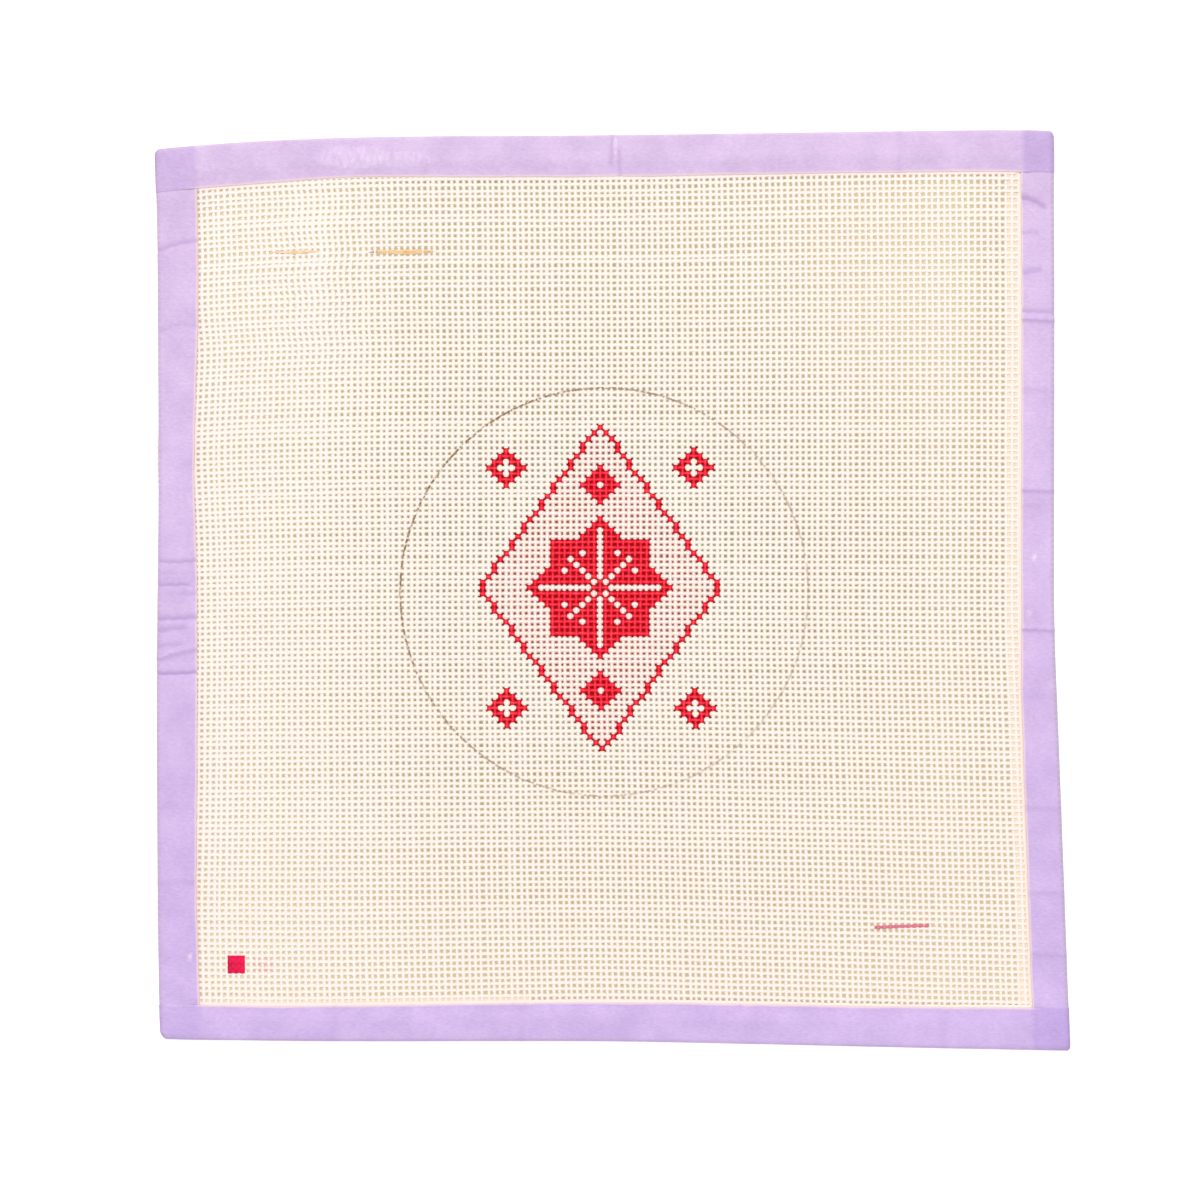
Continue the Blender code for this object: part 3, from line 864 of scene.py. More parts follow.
def lavender_crepe():
    """Crepe cloth tape: dyed fibre under a thin size, IOR 1.5, satin, softly mottled."""
    material, tree, shader = new_material("lavender_crepe", 0.55, 1.5, 0.35)
    place = add_node(tree, "TexCoord", {}, "Object")

    # The dye has taken unevenly: soft clouds about a centimetre across, and finer ones in them.
    clouds = add_node(
        tree, "TexNoise", {"Vector": place, "Scale": 120.0, "Detail": 5.0, "Roughness": 0.62}, "Fac"
    )
    mottle = add_node(tree, "MapRange", {"Value": clouds, "From Min": 0.33, "From Max": 0.67})
    dye = add_node(tree, "Mix", {"Factor": mottle, A: "#C6B0D8", B: "#D2BDE1"}, MIXED, data_type="RGBA")

    # Single fibres show as fine slanting flecks, two or three to the millimetre.
    slant = (0.0, 0.0, math.radians(35))
    slanted = add_node(tree, "Mapping", {"Vector": place, "Rotation": slant, "Scale": (1.0, 2.4, 1.0)})
    fibres = add_node(
        tree, "TexNoise", {"Vector": slanted, "Scale": 900.0, "Detail": 3.0, "Roughness": 0.7}, "Fac"
    )
    fibre_tone = add_node(tree, "MapRange", {
        "Value": fibres, "From Min": 0.3, "From Max": 0.7, "To Min": 0.92, "To Max": 1.08})
    dye = add_node(tree, "VectorMath", {0: dye, "Scale": fibre_tone}, operation="SCALE")

    # The dye isn't quite the same all along the roll: the panel is pinker at the top.
    up_panel = add_node(tree, "SeparateXYZ", {"Vector": place}, "Y")
    upper = add_node(tree, "MapRange", {"Value": up_panel, "From Min": -0.11, "From Max": 0.11})
    cast = add_node(tree, "Mix", {"Factor": upper, A: "#F3ECFB", B: "#FFFAF8"}, MIXED, data_type="RGBA")
    dye = add_node(
        tree, "Mix", {"Factor": 1.0, A: dye, B: cast}, MIXED, data_type="RGBA", blend_type="MULTIPLY"
    )

    # Another tape underneath shows through. Glue shows at the inner edge, and lightens it as painted
    # light against the shade there. On the dark side of a crease, painted shade deepens the colour.
    for amount, tint, blend in (
        ("over_tape", "#E3DEF4", "MULTIPLY"),
        ("inner_edge", "#F0D2D0", "MIX"),
        ("bunched", "#A88ABE", "MIX"),
    ):
        amount = add_node(tree, "Attribute", {}, "Fac", attribute_name=amount)
        dye = add_node(
            tree, "Mix", {"Factor": amount, A: dye, B: tint}, MIXED, data_type="RGBA", blend_type=blend
        )

    # Painted shade on the fold: grey where it turns over the edge, in bands as far apart as the thread
    # ends under it, which dent it.
    fold = add_node(tree, "Attribute", {}, "Fac", attribute_name="fold")
    dents = add_node(
        tree, "TexWave", {"Vector": place, "Scale": BANDS, "Distortion": 0.8}, "Fac",
        wave_type="BANDS", bands_direction="Y",
    )
    dented = add_node(tree, "Math", {0: dents, 1: 0.5, 2: 0.3}, operation="MULTIPLY_ADD")
    # Painted highlight: white glints, in flecks, in a few places on the crepe.
    rubbed = add_node(tree, "Attribute", {}, "Fac", attribute_name="rubbed")
    slant = (0.0, 0.0, math.radians(-30))
    strokes = add_node(tree, "Mapping", {"Vector": place, "Rotation": slant, "Scale": (1.0, 0.4, 1.0)})
    flecks = add_node(tree, "TexNoise", {"Vector": strokes, "Scale": 1100.0, "Detail": 3.0}, "Fac")
    cracked = add_node(tree, "MapRange", {"Value": flecks, "From Min": 0.3, "From Max": 0.85})
    for pattern, worn_here, tint in ((dented, fold, "#A89C9E"), (cracked, rubbed, "#F3E4F6")):
        amount = add_node(tree, "Math", {0: pattern, 1: worn_here}, operation="MULTIPLY")
        dye = add_node(tree, "Mix", {"Factor": amount, A: dye, B: tint}, MIXED, data_type="RGBA")
    tree.links.new(dye, shader.inputs["Base Color"])

    # Puckers, and the print of the threads underneath.
    puckers = add_node(tree, "TexNoise", {
        "Vector": place, "Scale": 1.0 / (CREPE_PITCH * MM), "Detail": 3.0, "Roughness": 0.6}, "Fac")
    crepe = add_node(tree, "Bump", {"Height": puckers, "Strength": 0.5, "Distance": 0.00012})
    prints = [
        add_node(
            tree, "TexWave",
            {"Vector": place, "Scale": BANDS, "Distortion": 1.2, "Detail": 2.0, "Detail Scale": 1.5}, "Fac",
            wave_type="BANDS", bands_direction=direction,
        )
        for direction in ("X", "Y")
    ]
    weave_print = add_node(tree, "Math", dict(enumerate(prints)), operation="ADD")
    printed = add_node(
        tree, "Bump", {"Height": weave_print, "Strength": 0.08, "Distance": 0.0001, "Normal": crepe}
    )
    tree.links.new(printed, shader.inputs["Normal"])
    return material


CREPE = lavender_crepe()
print("crepe puckers every", CREPE_PITCH, "mm")

# %% [markdown]
# On the back of the tape is a film of rubber glue, made sticky with rosin, which gives it its warm
# peach colour. Pressed down, it fills the holes of the canvas that it lies on, so it is made as a
# film across those holes, as the paint was. It matters at the right, where the tape's hidden half
# reaches further in than the half in front.

# %% The tape's glue, in the holes
def tape_glue():
    """The tape's back: natural rubber glue on the cloth's reverse, peach-white and tacky-satin."""
    material, tree, shader = new_material("tape_glue", 0.45, 1.52, 0.3)
    place = add_node(tree, "TexCoord", {}, "Object")
    spread = add_node(tree, "TexNoise", {"Vector": place, "Scale": 500.0, "Detail": 3.0}, "Fac")
    tone = add_node(tree, "Mix", {"Factor": spread, A: "#F4C8A8", B: "#FAD9C0"}, MIXED, data_type="RGBA")
    tree.links.new(tone, shader.inputs["Base Color"])
    return material


GLUE = tape_glue()
# The film stops this many mm short of the hidden half's edge; at the bottom it has crept past it.
GLUE_SHORT_OF_BACK = {"left": 0.2, "right": 0.2, "bottom": -0.25, "top": 0.2}
# It squeezes out this many mm past the edge in front; at the left it stays back under the tape.
GLUE_PAST_FRONT = {"left": -0.4, "right": 0.35, "bottom": 0.35, "top": 0.0}


def is_glued(u, v):
    """Whether the glue of one of the strips fills the hole at a place."""
    glued = np.zeros(u.shape, bool)
    for side, depth in depths(u, v).items():
        behind = reach(side, u, v, BACK) - GLUE_SHORT_OF_BACK[side]
        in_front = reach(side, u, v, FRONT) + GLUE_PAST_FRONT[side]
        glued |= depth < np.maximum(behind, in_front)
    return glued


glued = is_glued(holes_between(CROSS_U).mean(axis=0), holes_between(CROSS_V).mean(axis=0))
glue_film = film("glue_in_the_holes", glued, GLUE_LEVEL, [GLUE])
print("glued holes at the right:", int(glued[WARP_THREADS // 2 :].sum()))

# %% [markdown]
# ## Folding and creasing the tape
#
# Each binding is one strip: up from its hidden edge behind the canvas, round the fold, and out over
# the face. A strip is a grid of points, many along it and some across it, to which a real thickness
# is added at the end.
#
# The creases are what make it cloth. Tape that has been peeled, pressed and handled has soft ridges
# and troughs across it, each with its own slant and bend, and most fade before they reach both
# edges. They are listed here. The points along the strip are set closer together around each
# crease, so that it is shaped properly without a heavy mesh everywhere else.

# %% The creases, by tape
# at: place along the side; slant: how far it moves from the fold to the inner edge; bend: how far
# its middle bows; height: a ridge or, below 0, a trough; width: its half-width; start, end: the
# shares of the way across the face between which it shows. All but the shares are in mm.
CREASES = {
    "left": (
        (80.7, 1.4, 0.45, -0.20, 0.60, 0.0, 1.0),
        (61.4, 0.4, 1.0, -0.13, 0.65, 0.0, 1.0),
        (33.0, -0.3, 0.2, -0.06, 0.80, 0.0, 0.8),
        (14.5, 0.9, 0.3, -0.08, 0.95, 0.3, 1.0),
        (6.65, 0.0, -0.2, -0.24, 0.55, 0.0, 1.0),
        (3.9, 0.2, 0.0, -0.08, 0.60, 0.0, 0.5),
        (1.15, 0.0, -0.1, -0.24, 0.50, 0.0, 0.9),
        (-1.3, 0.1, 0.0, -0.16, 0.60, 0.45, 1.0),
        (-6.9, 0.1, -0.1, -0.30, 0.70, 0.0, 1.0),
        (-9.8, 0.3, 0.3, -0.26, 0.85, 0.0, 0.8),
        (-15.9, 2.0, 0.3, 0.24, 0.60, 0.0, 1.0),
        (-13.4, 1.2, -0.3, -0.16, 0.70, 0.0, 0.7),
        (-19.9, 0.1, -0.1, -0.36, 0.55, 0.0, 1.0),
        (-68.9, 0.2, 0.2, 0.11, 0.90, 0.0, 1.0),
        (-52.0, 0.6, 0.0, -0.06, 1.20, 0.0, 0.6),
    ),
    "right": (
        (89.9, 3.0, 0.5, -0.34, 0.85, 0.05, 1.0),
        (84.2, 0.3, 0.3, -0.16, 0.85, 0.3, 1.0),
        (75.7, -0.8, 0.2, -0.22, 0.90, 0.2, 1.0),
        (65.9, 0.1, 0.0, -0.22, 0.60, 0.0, 1.0),
        (64.3, 0.2, 0.0, 0.28, 0.55, 0.0, 1.0),
        (47.8, 0.2, 0.2, 0.10, 0.75, 0.0, 1.0),
        (23.9, 0.0, 0.0, 0.26, 0.50, 0.0, 1.0),
        (20.5, 0.0, 0.0, 0.08, 0.80, 0.2, 1.0),
        (-9.25, 0.1, 0.1, 0.28, 0.48, 0.0, 1.0),
        (-24.5, -0.8, 0.3, 0.09, 1.10, 0.0, 1.0),
        (-51.4, 0.3, 0.0, 0.14, 0.80, 0.0, 1.0),
        (-71.6, 0.0, 0.2, 0.13, 0.80, 0.0, 1.0),
        (-86.3, 0.2, 0.0, 0.13, 0.70, 0.0, 1.0),
    ),
    "top": (
        (0.2, -0.6, 0.0, 0.24, 0.50, 0.0, 0.75),
        (1.35, 0.0, 0.0, -0.25, 0.45, 0.2, 1.0),
        (-58.0, 1.6, 0.5, 0.08, 0.90, 0.1, 0.9),
        (68.4, 0.1, 0.0, 0.08, 0.70, 0.0, 1.0),
        (-24.0, -0.5, 0.4, 0.06, 1.20, 0.0, 1.0),
    ),
    "bottom": (
        (-66.0, 0.6, 0.2, 0.06, 1.10, 0.0, 1.0),
        (-21.0, -0.4, 0.2, 0.06, 1.00, 0.0, 1.0),
        (34.0, 0.5, 0.0, 0.06, 1.20, 0.0, 1.0),
        (79.0, 0.2, 0.0, 0.08, 0.90, 0.0, 1.0),
    ),
}
RUBBED = (  # places with painted glints, and how bright
    Spot(-61.5, 103.0, 8.0, 2.6, 0.5),
    Spot(-51.0, 102.6, 9.0, 1.8, 0.35),
    Spot(0.7, 105.6, 0.5, 2.2, 0.6),
    Spot(-101.8, -98.3, 4.0, 0.35, 0.4),
    Spot(-102.9, -44.7, 0.5, 0.5, 1.0),
    Spot(-100.2, -86.8, 0.5, 0.5, 1.0),
    Spot(100.0, 7.8, 0.5, 0.5, 1.0),
    Spot(99.1, -5.2, 0.5, 0.5, 1.0),
)
print("creases:", sum(len(rows) for rows in CREASES.values()))

# %% [markdown]
# `creases_at` adds up the creases at each point. In section a crease is a hill, or a dip, with
# sides that steepen towards a sharp tip, because that is how stiff thin cloth gives way. With the
# light from the top of the panel, a hill is light above its tip and dark below it, and a dip the
# other way round. So which of the two a crease is can be read off the photograph. Relief this low
# casts little shade, so painted shade also deepens the colour on the dark side of each.

# %% Creases as heights, and points set closer around them
STATION_STEP, CREASE_STEP = 1.3, 0.17  # mm between points along a tape, and near a crease
CREASE_SPAN = 3.2  # half-widths on either side of a crease that get the closer points
CREASE_TIP = 0.07  # mm over which the tip of a crease is rounded
DARK_SIDE, LIGHT_SIDE = 1.35, 0.75  # widths against the table's: the side facing away is longer
CREASE_DEPTH = 0.85  # against the table's height
BUNCHED = 1.7  # how much painted shade deepens the colour for each mm of a crease's height
WOBBLE = 0.1  # mm that a crease strays from its line
SOFTENING = 0.16  # share of the face over which a crease fades out at its ends
BAND_WIDTH = 1.2  # the painted shade's width against the crease's
TOO_CLOSE = 0.45  # points nearer to each other than this share of CREASE_STEP are dropped


def creases_at(side, along, share):
    """The height in mm of a side's creases, and how much painted shade darkens them.

    share is 0 at the fold, 1 at the inner edge.
    """
    total = np.zeros(np.broadcast(along, share).shape)
    bunched = np.zeros_like(total)
    for at, slant, bend, height, width, start, end in CREASES[side]:
        line = at + slant * share + bend * 4.0 * share * (1.0 - share)
        off = along - line - WOBBLE * np.sin(19.0 * share + 3.0 * at)
        flank = width * np.where(off * height < 0.0, DARK_SIDE, LIGHT_SIDE)
        hill = np.exp((CREASE_TIP - np.sqrt(off**2 + CREASE_TIP**2)) / flank)
        shown = np.ones_like(share)
        if start > 0.0:
            shown = shown * eased((share - start) / SOFTENING)
        if end < 1.0:
            shown = shown * eased((end - share) / SOFTENING)
        total = total + CREASE_DEPTH * height * hill * shown
        lean = -math.copysign(0.5 * width, height)
        band = np.exp(-(((off - lean) / (BAND_WIDTH * width)) ** 2))
        bunched = np.maximum(bunched, BUNCHED * abs(height) * band * shown)
    return total, np.clip(bunched, 0.0, 1.0)


def stations(side, low, high):
    """Places along a side, in mm, closer together around its creases."""
    places = [np.arange(low, high, STATION_STEP), [high]]
    for at, slant, bend, _, width, _, _ in CREASES[side]:
        first, last = sorted((at, at + slant))
        span = CREASE_SPAN * width
        places.append(np.arange(max(first - span, low), min(last + span + bend, high), CREASE_STEP))
    places = np.unique(np.concatenate(places))
    keep = np.concatenate([[True], np.diff(places) > TOO_CLOSE * CREASE_STEP])
    keep[-2:] = [False, True]
    return places[keep]


print("points along the left tape:", len(stations("left", -105.0, 103.0)))

# %% [markdown]
# Now the strips themselves, and first the section that they all have. Depth is measured in from the
# outline, and `over` is the height over the middle of the canvas. The section is drawn with more
# points round the fold than behind, where it is flat and never seen.

# %% The section of a folded strip
STRIP_THICKNESS = 0.2  # mm; the solids keep the tape thicker than it is
BACK_STEPS, FOLD_STEPS, FACE_STEPS = 4, 10, 15
EDGE_COLUMN = 0.985  # share of the face: a last row of points just inside the edge keeps it crisp
FOLD_SQUARENESS = 0.55  # 1 would fold round a rod, less folds over the canvas's flat edge


def across_tape(back_reach, front_reach, back_offset, front_offset):
    """Depth, height over the middle, outward and upward direction and share of the face."""
    radius, centre_rise = (front_offset + back_offset) / 2, (front_offset - back_offset) / 2
    centre = STRIP_THICKNESS / 2 + radius
    back = np.linspace(1.0, 0.0, BACK_STEPS + 1)[None, :-1]
    turn = math.pi * np.linspace(-0.5, 0.5, FOLD_STEPS + 1)[None, :]
    face = np.array([[*np.linspace(0.0, 1.0, FACE_STEPS + 1)[1:-1], EDGE_COLUMN, 1.0]])
    up = np.sign(turn) * np.abs(np.sin(turn)) ** FOLD_SQUARENESS
    depth = np.hstack([
        centre + (back_reach - centre) * back,
        centre - radius * np.cos(turn) ** FOLD_SQUARENESS,
        centre + (front_reach - centre) * face,
    ])
    over = np.hstack([-back_offset + 0 * back, centre_rise + radius * up, front_offset + 0 * face])
    out = np.hstack([0 * back, np.cos(turn), 0 * face])
    lift = np.hstack([0 * back - 1, np.sin(turn), 0 * face + 1])
    return depth, over, out, lift, np.hstack([-back, 0 * turn, face])


print("a strip has", BACK_STEPS + FOLD_STEPS + FACE_STEPS + 2, "points across")

# %% [markdown]
# Hands leave their marks on a binding. The inner edge wasn't cut quite straight, and the corners
# are nipped in a little at the fold, which rounds them. The fold gets painted shade, and some places
# get painted glints. Where an end tape lies over a side tape, the one underneath shows through. Each
# of these is a small function that says how much of it there is at a place.

# %% Painted shade and glints, overlaps and corners
CORNER_RADII = {"bottom_left": 2.3, "bottom_right": 1.2, "top_left": 1.7, "top_right": 1.7}
CORNER_REACH = 5.0
OVERLAP_TINT = {"bottom_left": 0.27, "bottom_right": 0.6, "top_left": 0.5, "top_right": 0.65}
OVERLAP_FADE = 0.7  # mm over which the tint of an overlap comes in
WORN_FROM, WORN_TO, FACES_OUT = 0.1, 0.4, 0.75  # how far outwards the fold faces there
LESS_WORN = 0.6  # where it faces straight out
RUBBED_RIM = 1.6  # how far off its spot a painted glint ends


def stray(count, amount, seed):
    """A smooth random line, in mm."""
    own = np.random.default_rng(seed)
    knots = own.normal(0.0, amount, count // 6 + 4)
    return np.interp(np.linspace(0, len(knots) - 1, count), np.arange(len(knots)), knots)


def rubbed_amount(x, y):
    return np.maximum.reduce([spot.amount * eased(RUBBED_RIM - off_spot(spot, x, y)) for spot in RUBBED])


def overlap_tint(u, v, side):
    """How strongly the tape underneath shows through an end tape."""
    depth = depths(u, v)
    tint = np.zeros_like(u)
    for crossed in SIDE_TAPES if side in END_TAPES else ():
        beyond = depth[crossed] - reach(crossed, u, np.round(v), FRONT)
        tint = tint + (1.0 - eased(beyond / OVERLAP_FADE + 0.5)) * OVERLAP_TINT[side + "_" + crossed]
    return tint


def rounded_end(corner, from_end, depth):
    """How far a strip's end is nipped in, in mm."""
    radius = CORNER_RADII[corner]
    short = np.clip(radius - depth, 0.0, radius)
    return (radius - np.sqrt(radius**2 - short**2)) * (1.0 - eased(from_end / CORNER_REACH))


def worn(out):
    """Painted shade on a fold: strongest just over its edge, and less where it faces straight out."""
    over_edge = eased((out - WORN_FROM) / (WORN_TO - WORN_FROM))
    return over_edge * (1.0 - LESS_WORN * eased((out - FACES_OUT) / (1.0 - FACES_OUT)))


print("rounded corners:", ", ".join(CORNER_RADII), "and", len(RUBBED), "rubbed places")

# %% [markdown]
# The side tapes stop short inside the end tapes, which run the full width of the panel and step up
# over them. The glue pulls the face of a strip down onto the weave, most of all at its inner edge,
# which is rubbed down until it is thin. Thickness is added by a Solidify modifier, and a vertex
# group thins it there, because that keeps the strip one simple sheet.

# %% The four bindings
SIDE_TAPE_INSET = 1.35
FOLD_GIVE = 0.3  # share of a crease's height by which the fold is pushed out
FRAY = 0.07  # mm that the inner edge strays
FACE_SETTLED, FACE_SETTLED_OVER_TAPE = 0.15, 0.47  # mm, and mm more where the strip is on another
FACE_RAMP, FACE_MARGIN = 2.6, -1.6  # mm: where a strip comes down off the one it crosses
PRESSED_FROM = 0.5  # share of the face
EDGE_DROP = {"left": 0.25, "right": 0.25, "bottom": 0.4, "top": 0.5}  # mm
EDGE_DROP_OVER_TAPE = 0.13  # mm
EDGE_THINNING = 0.4  # share of the thickness that is left at the edge
EDGE_TUCK = 0.03  # mm that the very edge sinks between the threads
EDGE_PINK, EDGE_PINK_FROM = 0.75, 0.93  # how strongly glue and painted light show there, from which share of the face
# The hidden half reaches up into the weave, which its glue holds: mm, and the shares of its width.
BACK_BONDED, BONDED_FROM, BONDED_OVER = 0.28, 0.15, 0.35
# How much painted shade each fold gets.
FOLD_WEAR = {"left": 0.7, "right": 0.9, "top": 0.25, "bottom": 0.3}


def inwards_from(side, along, depth):
    """u and v of places a share along a side, and this many mm in from it."""
    inwards = depth / (column_height(along) if side in END_TAPES else row_length(along))
    across = 1.0 - inwards if side in FAR_SIDES else inwards
    along = np.broadcast_to(along, across.shape)
    return (along, across) if side in END_TAPES else (across, along)


def facing_up(side, rows, columns):
    """Faces of a grid along a side and in from it, turned so that they face up."""
    return grid_faces(rows, columns)[:, :: -1 if side in ("bottom", "right") else 1]


def tape(side, seed):
    """The finished binding of one side of the panel."""
    is_end, edge = side in END_TAPES, float(side in FAR_SIDES)
    inset = 0.0 if is_end else SIDE_TAPE_INSET
    start, stop = (plan(t, edge)[0] if is_end else plan(edge, t)[1] for t in (0.0, 1.0))
    along = stations(side, start + inset, stop - inset)[:, None]
    t = (along - start) / (stop - start)
    back_offset = np.full_like(t, LEG_OFFSET + (TAPE_THICKNESS - STRIP_THICKNESS) / 2)
    front_offset = np.full_like(t, LEG_OFFSET - FACE_SETTLED)
    on_tape = np.zeros_like(t)
    if is_end:
        back_offset += LAYER * over_tapes(SIDE_TAPES, t, np.full_like(t, edge), BACK)
        on_tape = over_tapes(SIDE_TAPES, t, np.full_like(t, edge), FRONT, FACE_RAMP, FACE_MARGIN)
        front_offset += (LAYER - FACE_SETTLED_OVER_TAPE) * on_tape
    front_reach = read(REACHES[side], t, FRONT) + stray(len(t), FRAY, seed)[:, None]
    depth, over, out, lift, share = across_tape(
        read(REACHES[side], t, BACK), front_reach, back_offset, front_offset
    )
    creased, bunched = creases_at(side, along, np.clip(share, 0.0, 1.0))
    creased = creased * (share >= 0.0)
    pressed = eased((share - PRESSED_FROM) / (1.0 - PRESSED_FROM))
    bonded = eased((-share - BONDED_FROM) / BONDED_OVER) * BACK_BONDED
    drop = EDGE_DROP_OVER_TAPE + (EDGE_DROP[side] - EDGE_DROP_OVER_TAPE) * (1.0 - on_tape) ** 2
    thickness = 1.0 - (1.0 - EDGE_THINNING) * pressed
    rise = creased * np.maximum(lift, 0.0) - drop * pressed + bonded
    # A dip can't go deeper than the threads that it rests on.
    lowest = THREAD_TOP + thickness * STRIP_THICKNESS / 2 - over
    rise = np.where(share > 0.0, np.maximum(rise, lowest), rise) - EDGE_TUCK * (share == 1.0)
    u, v = inwards_from(side, t, depth - creased * out * FOLD_GIVE)
    x, y = plan(u, v)
    if is_end:
        x = x + rounded_end(side + "_left", u * row_length(edge), depth)
        x = x - rounded_end(side + "_right", (1 - u) * row_length(edge), depth)
    # Painted light: the glue's pale tint at the inner edge also lightens the shade there.
    pink = EDGE_PINK * eased((share - EDGE_PINK_FROM) / (1.0 - EDGE_PINK_FROM))
    piece = mesh_object(
        "tape_%s_crepe" % side,
        np.stack([x, y, middle_height(u, v) + over + rise], axis=-1),
        [facing_up(side, *x.shape)],
        [CREPE, GLUE],
        over_tape=overlap_tint(u, v, side) * (share >= 0.0),
        inner_edge=pink * (1.0 - on_tape),
        fold=FOLD_WEAR[side] * worn(out),
        rubbed=rubbed_amount(x, y),
        bunched=bunched * (share >= 0.0),
    )
    solid = piece.modifiers.new("thickness", "SOLIDIFY")
    solid.thickness, solid.offset, solid.material_offset = STRIP_THICKNESS * MM, 0.0, 1
    group = piece.vertex_groups.new(name="full_thickness")
    left = np.broadcast_to(np.where(share > 0.0, thickness, 1.0), x.shape)
    for index, amount in enumerate(left.ravel()):
        group.add([index], float(amount), "REPLACE")
    solid.vertex_group = group.name
    print(piece.name, x.shape[0], "by", x.shape[1], "points")
    return piece


TAPES = {side: tape(side, seed) for seed, side in enumerate(SIDE_TAPES + END_TAPES, 41)}

# %% [markdown]
# Rubbing a tape down squeezes a little of its glue out along the inner edge. It takes up some of
# the lavender dye, so the edge looks soft: lavender, then pink, then cream. The glue lies level with
# the tops of the threads at the tape and sinks between them further out, where their crests come
# through it.

# %% Glue squeezed out along the inner edges
SQUEEZED_OUT = {"left": 0.12, "right": 0.7, "bottom": 0.6, "top": 0.3}  # mm past the tape's edge
SQUEEZED_UNDER = 0.5  # mm under it
SQUEEZED_STEP, SQUEEZED_COLUMNS = 0.35, 8
SQUEEZED_STRAY = 0.12  # share of its width
SQUEEZED_HIGH, SQUEEZED_FALL = 1.14, 0.8  # against the tops of the threads
SQUEEZED_PINK = 0.6  # share of its width over which pink gives way to cream


def squeezed_glue():
    """Rubber glue with a little dye in it: pink beside the tape, cream further out, satin."""
    material, tree, shader = new_material("squeezed_glue", 0.5, 1.52, 0.3)
    outward = add_node(tree, "Attribute", {}, "Fac", attribute_name="outward")
    tone = add_node(tree, "Mix", {"Factor": outward, A: "#E8CCC8", B: "#F1E3D5"}, MIXED, data_type="RGBA")
    tree.links.new(tone, shader.inputs["Base Color"])
    return material


SQUEEZED = squeezed_glue()


def glue_line(side, seed):
    is_end, edge = side in END_TAPES, float(side in FAR_SIDES)
    whole = row_length(edge) if is_end else column_height(edge)
    ends = SIDE_TAPES if is_end else END_TAPES
    low, high = ((read(REACHES[end], np.array(edge), FRONT) - SQUEEZED_UNDER) / whole for end in ends)
    rows = int((1.0 - high - low) * whole / SQUEEZED_STEP)
    along = np.linspace(low, 1.0 - high, rows)[:, None]
    outward = np.linspace(0.0, 1.0, SQUEEZED_COLUMNS)[None, :]
    width = SQUEEZED_OUT[side] * (1.0 + stray(rows, SQUEEZED_STRAY, seed))[:, None]
    depth = read(REACHES[side], along, FRONT) - SQUEEZED_UNDER + (SQUEEZED_UNDER + width) * outward
    u, v = inwards_from(side, along, depth)
    under = SQUEEZED_UNDER / (SQUEEZED_UNDER + width)
    past = np.clip((outward - under) / (1.0 - under), 0.0, 1.0)
    z = middle_height(u, v) + THREAD_TOP * (SQUEEZED_HIGH - SQUEEZED_FALL * past)
    piece = mesh_object(
        "glue_line_" + side, np.stack([*plan(u, v), z], axis=-1), [facing_up(side, *u.shape)],
        [SQUEEZED], outward=eased(past / SQUEEZED_PINK),
    )
    print(piece.name, rows, "points long")
    return piece


GLUE_LINES = [glue_line(side, seed) for seed, side in enumerate(SIDE_TAPES + END_TAPES, 61)]

# %% [markdown]
# ## Slubs
#
# A slub is a fault in the yarn: a place where the spinner let too much unbleached fibre into the
# thread. Two show on one crosswise thread near the top, straw-coloured and standing proud of the
# weave. Each is a spindle of loosely twisted fibre with a lumpy surface and thin hairy edges.

# %% Two slubs on a crosswise thread
# thickness: in mm; lean: how far the right end lies above the left; fattest: share of the way along;
# the next column: how much painted shadow darkens its left tip; dark, light: its fibre's tones.
Slub = namedtuple("Slub", "name x_from x_to y thickness lean fattest bruised fibre dark light")
SLUBS = (
    Slub("slub_pale", -81.5, -70.0, 80.5, 0.85, 0.05, 0.7, 0.0, "pale_fibre", "#D8B488", "#EDD3AE"),
    Slub("slub_golden", -57.8, -41.6, 80.55, 1.0, 0.15, 0.35, 1.0, "golden_fibre", "#D8A660", "#EACA92"),
)
BRUISED_SHARE = 0.22
SLUB_RINGS, SLUB_SIDES, SLUB_KNOTS = 60, 10, 14
SLUB_LUMPS = 0.12  # share of the radius
SLUB_SPREAD, SLUB_FLATNESS = 1.15, 0.22  # width and height against the radius: it is pressed flat
SLUB_BED = 0.82  # its middle's height, against a thread's half thickness
SLUB_DIP, SLUB_BOW = 0.07, 0.05  # mm: how far it dips with the weave, and bends in plan
SLUB_BLUNTNESS = 0.7  # below 1 its tips are rounder than a spindle's
SLUB_THINNEST, SLUB_THICKEST = 0.06, 1.5  # against its usual radius


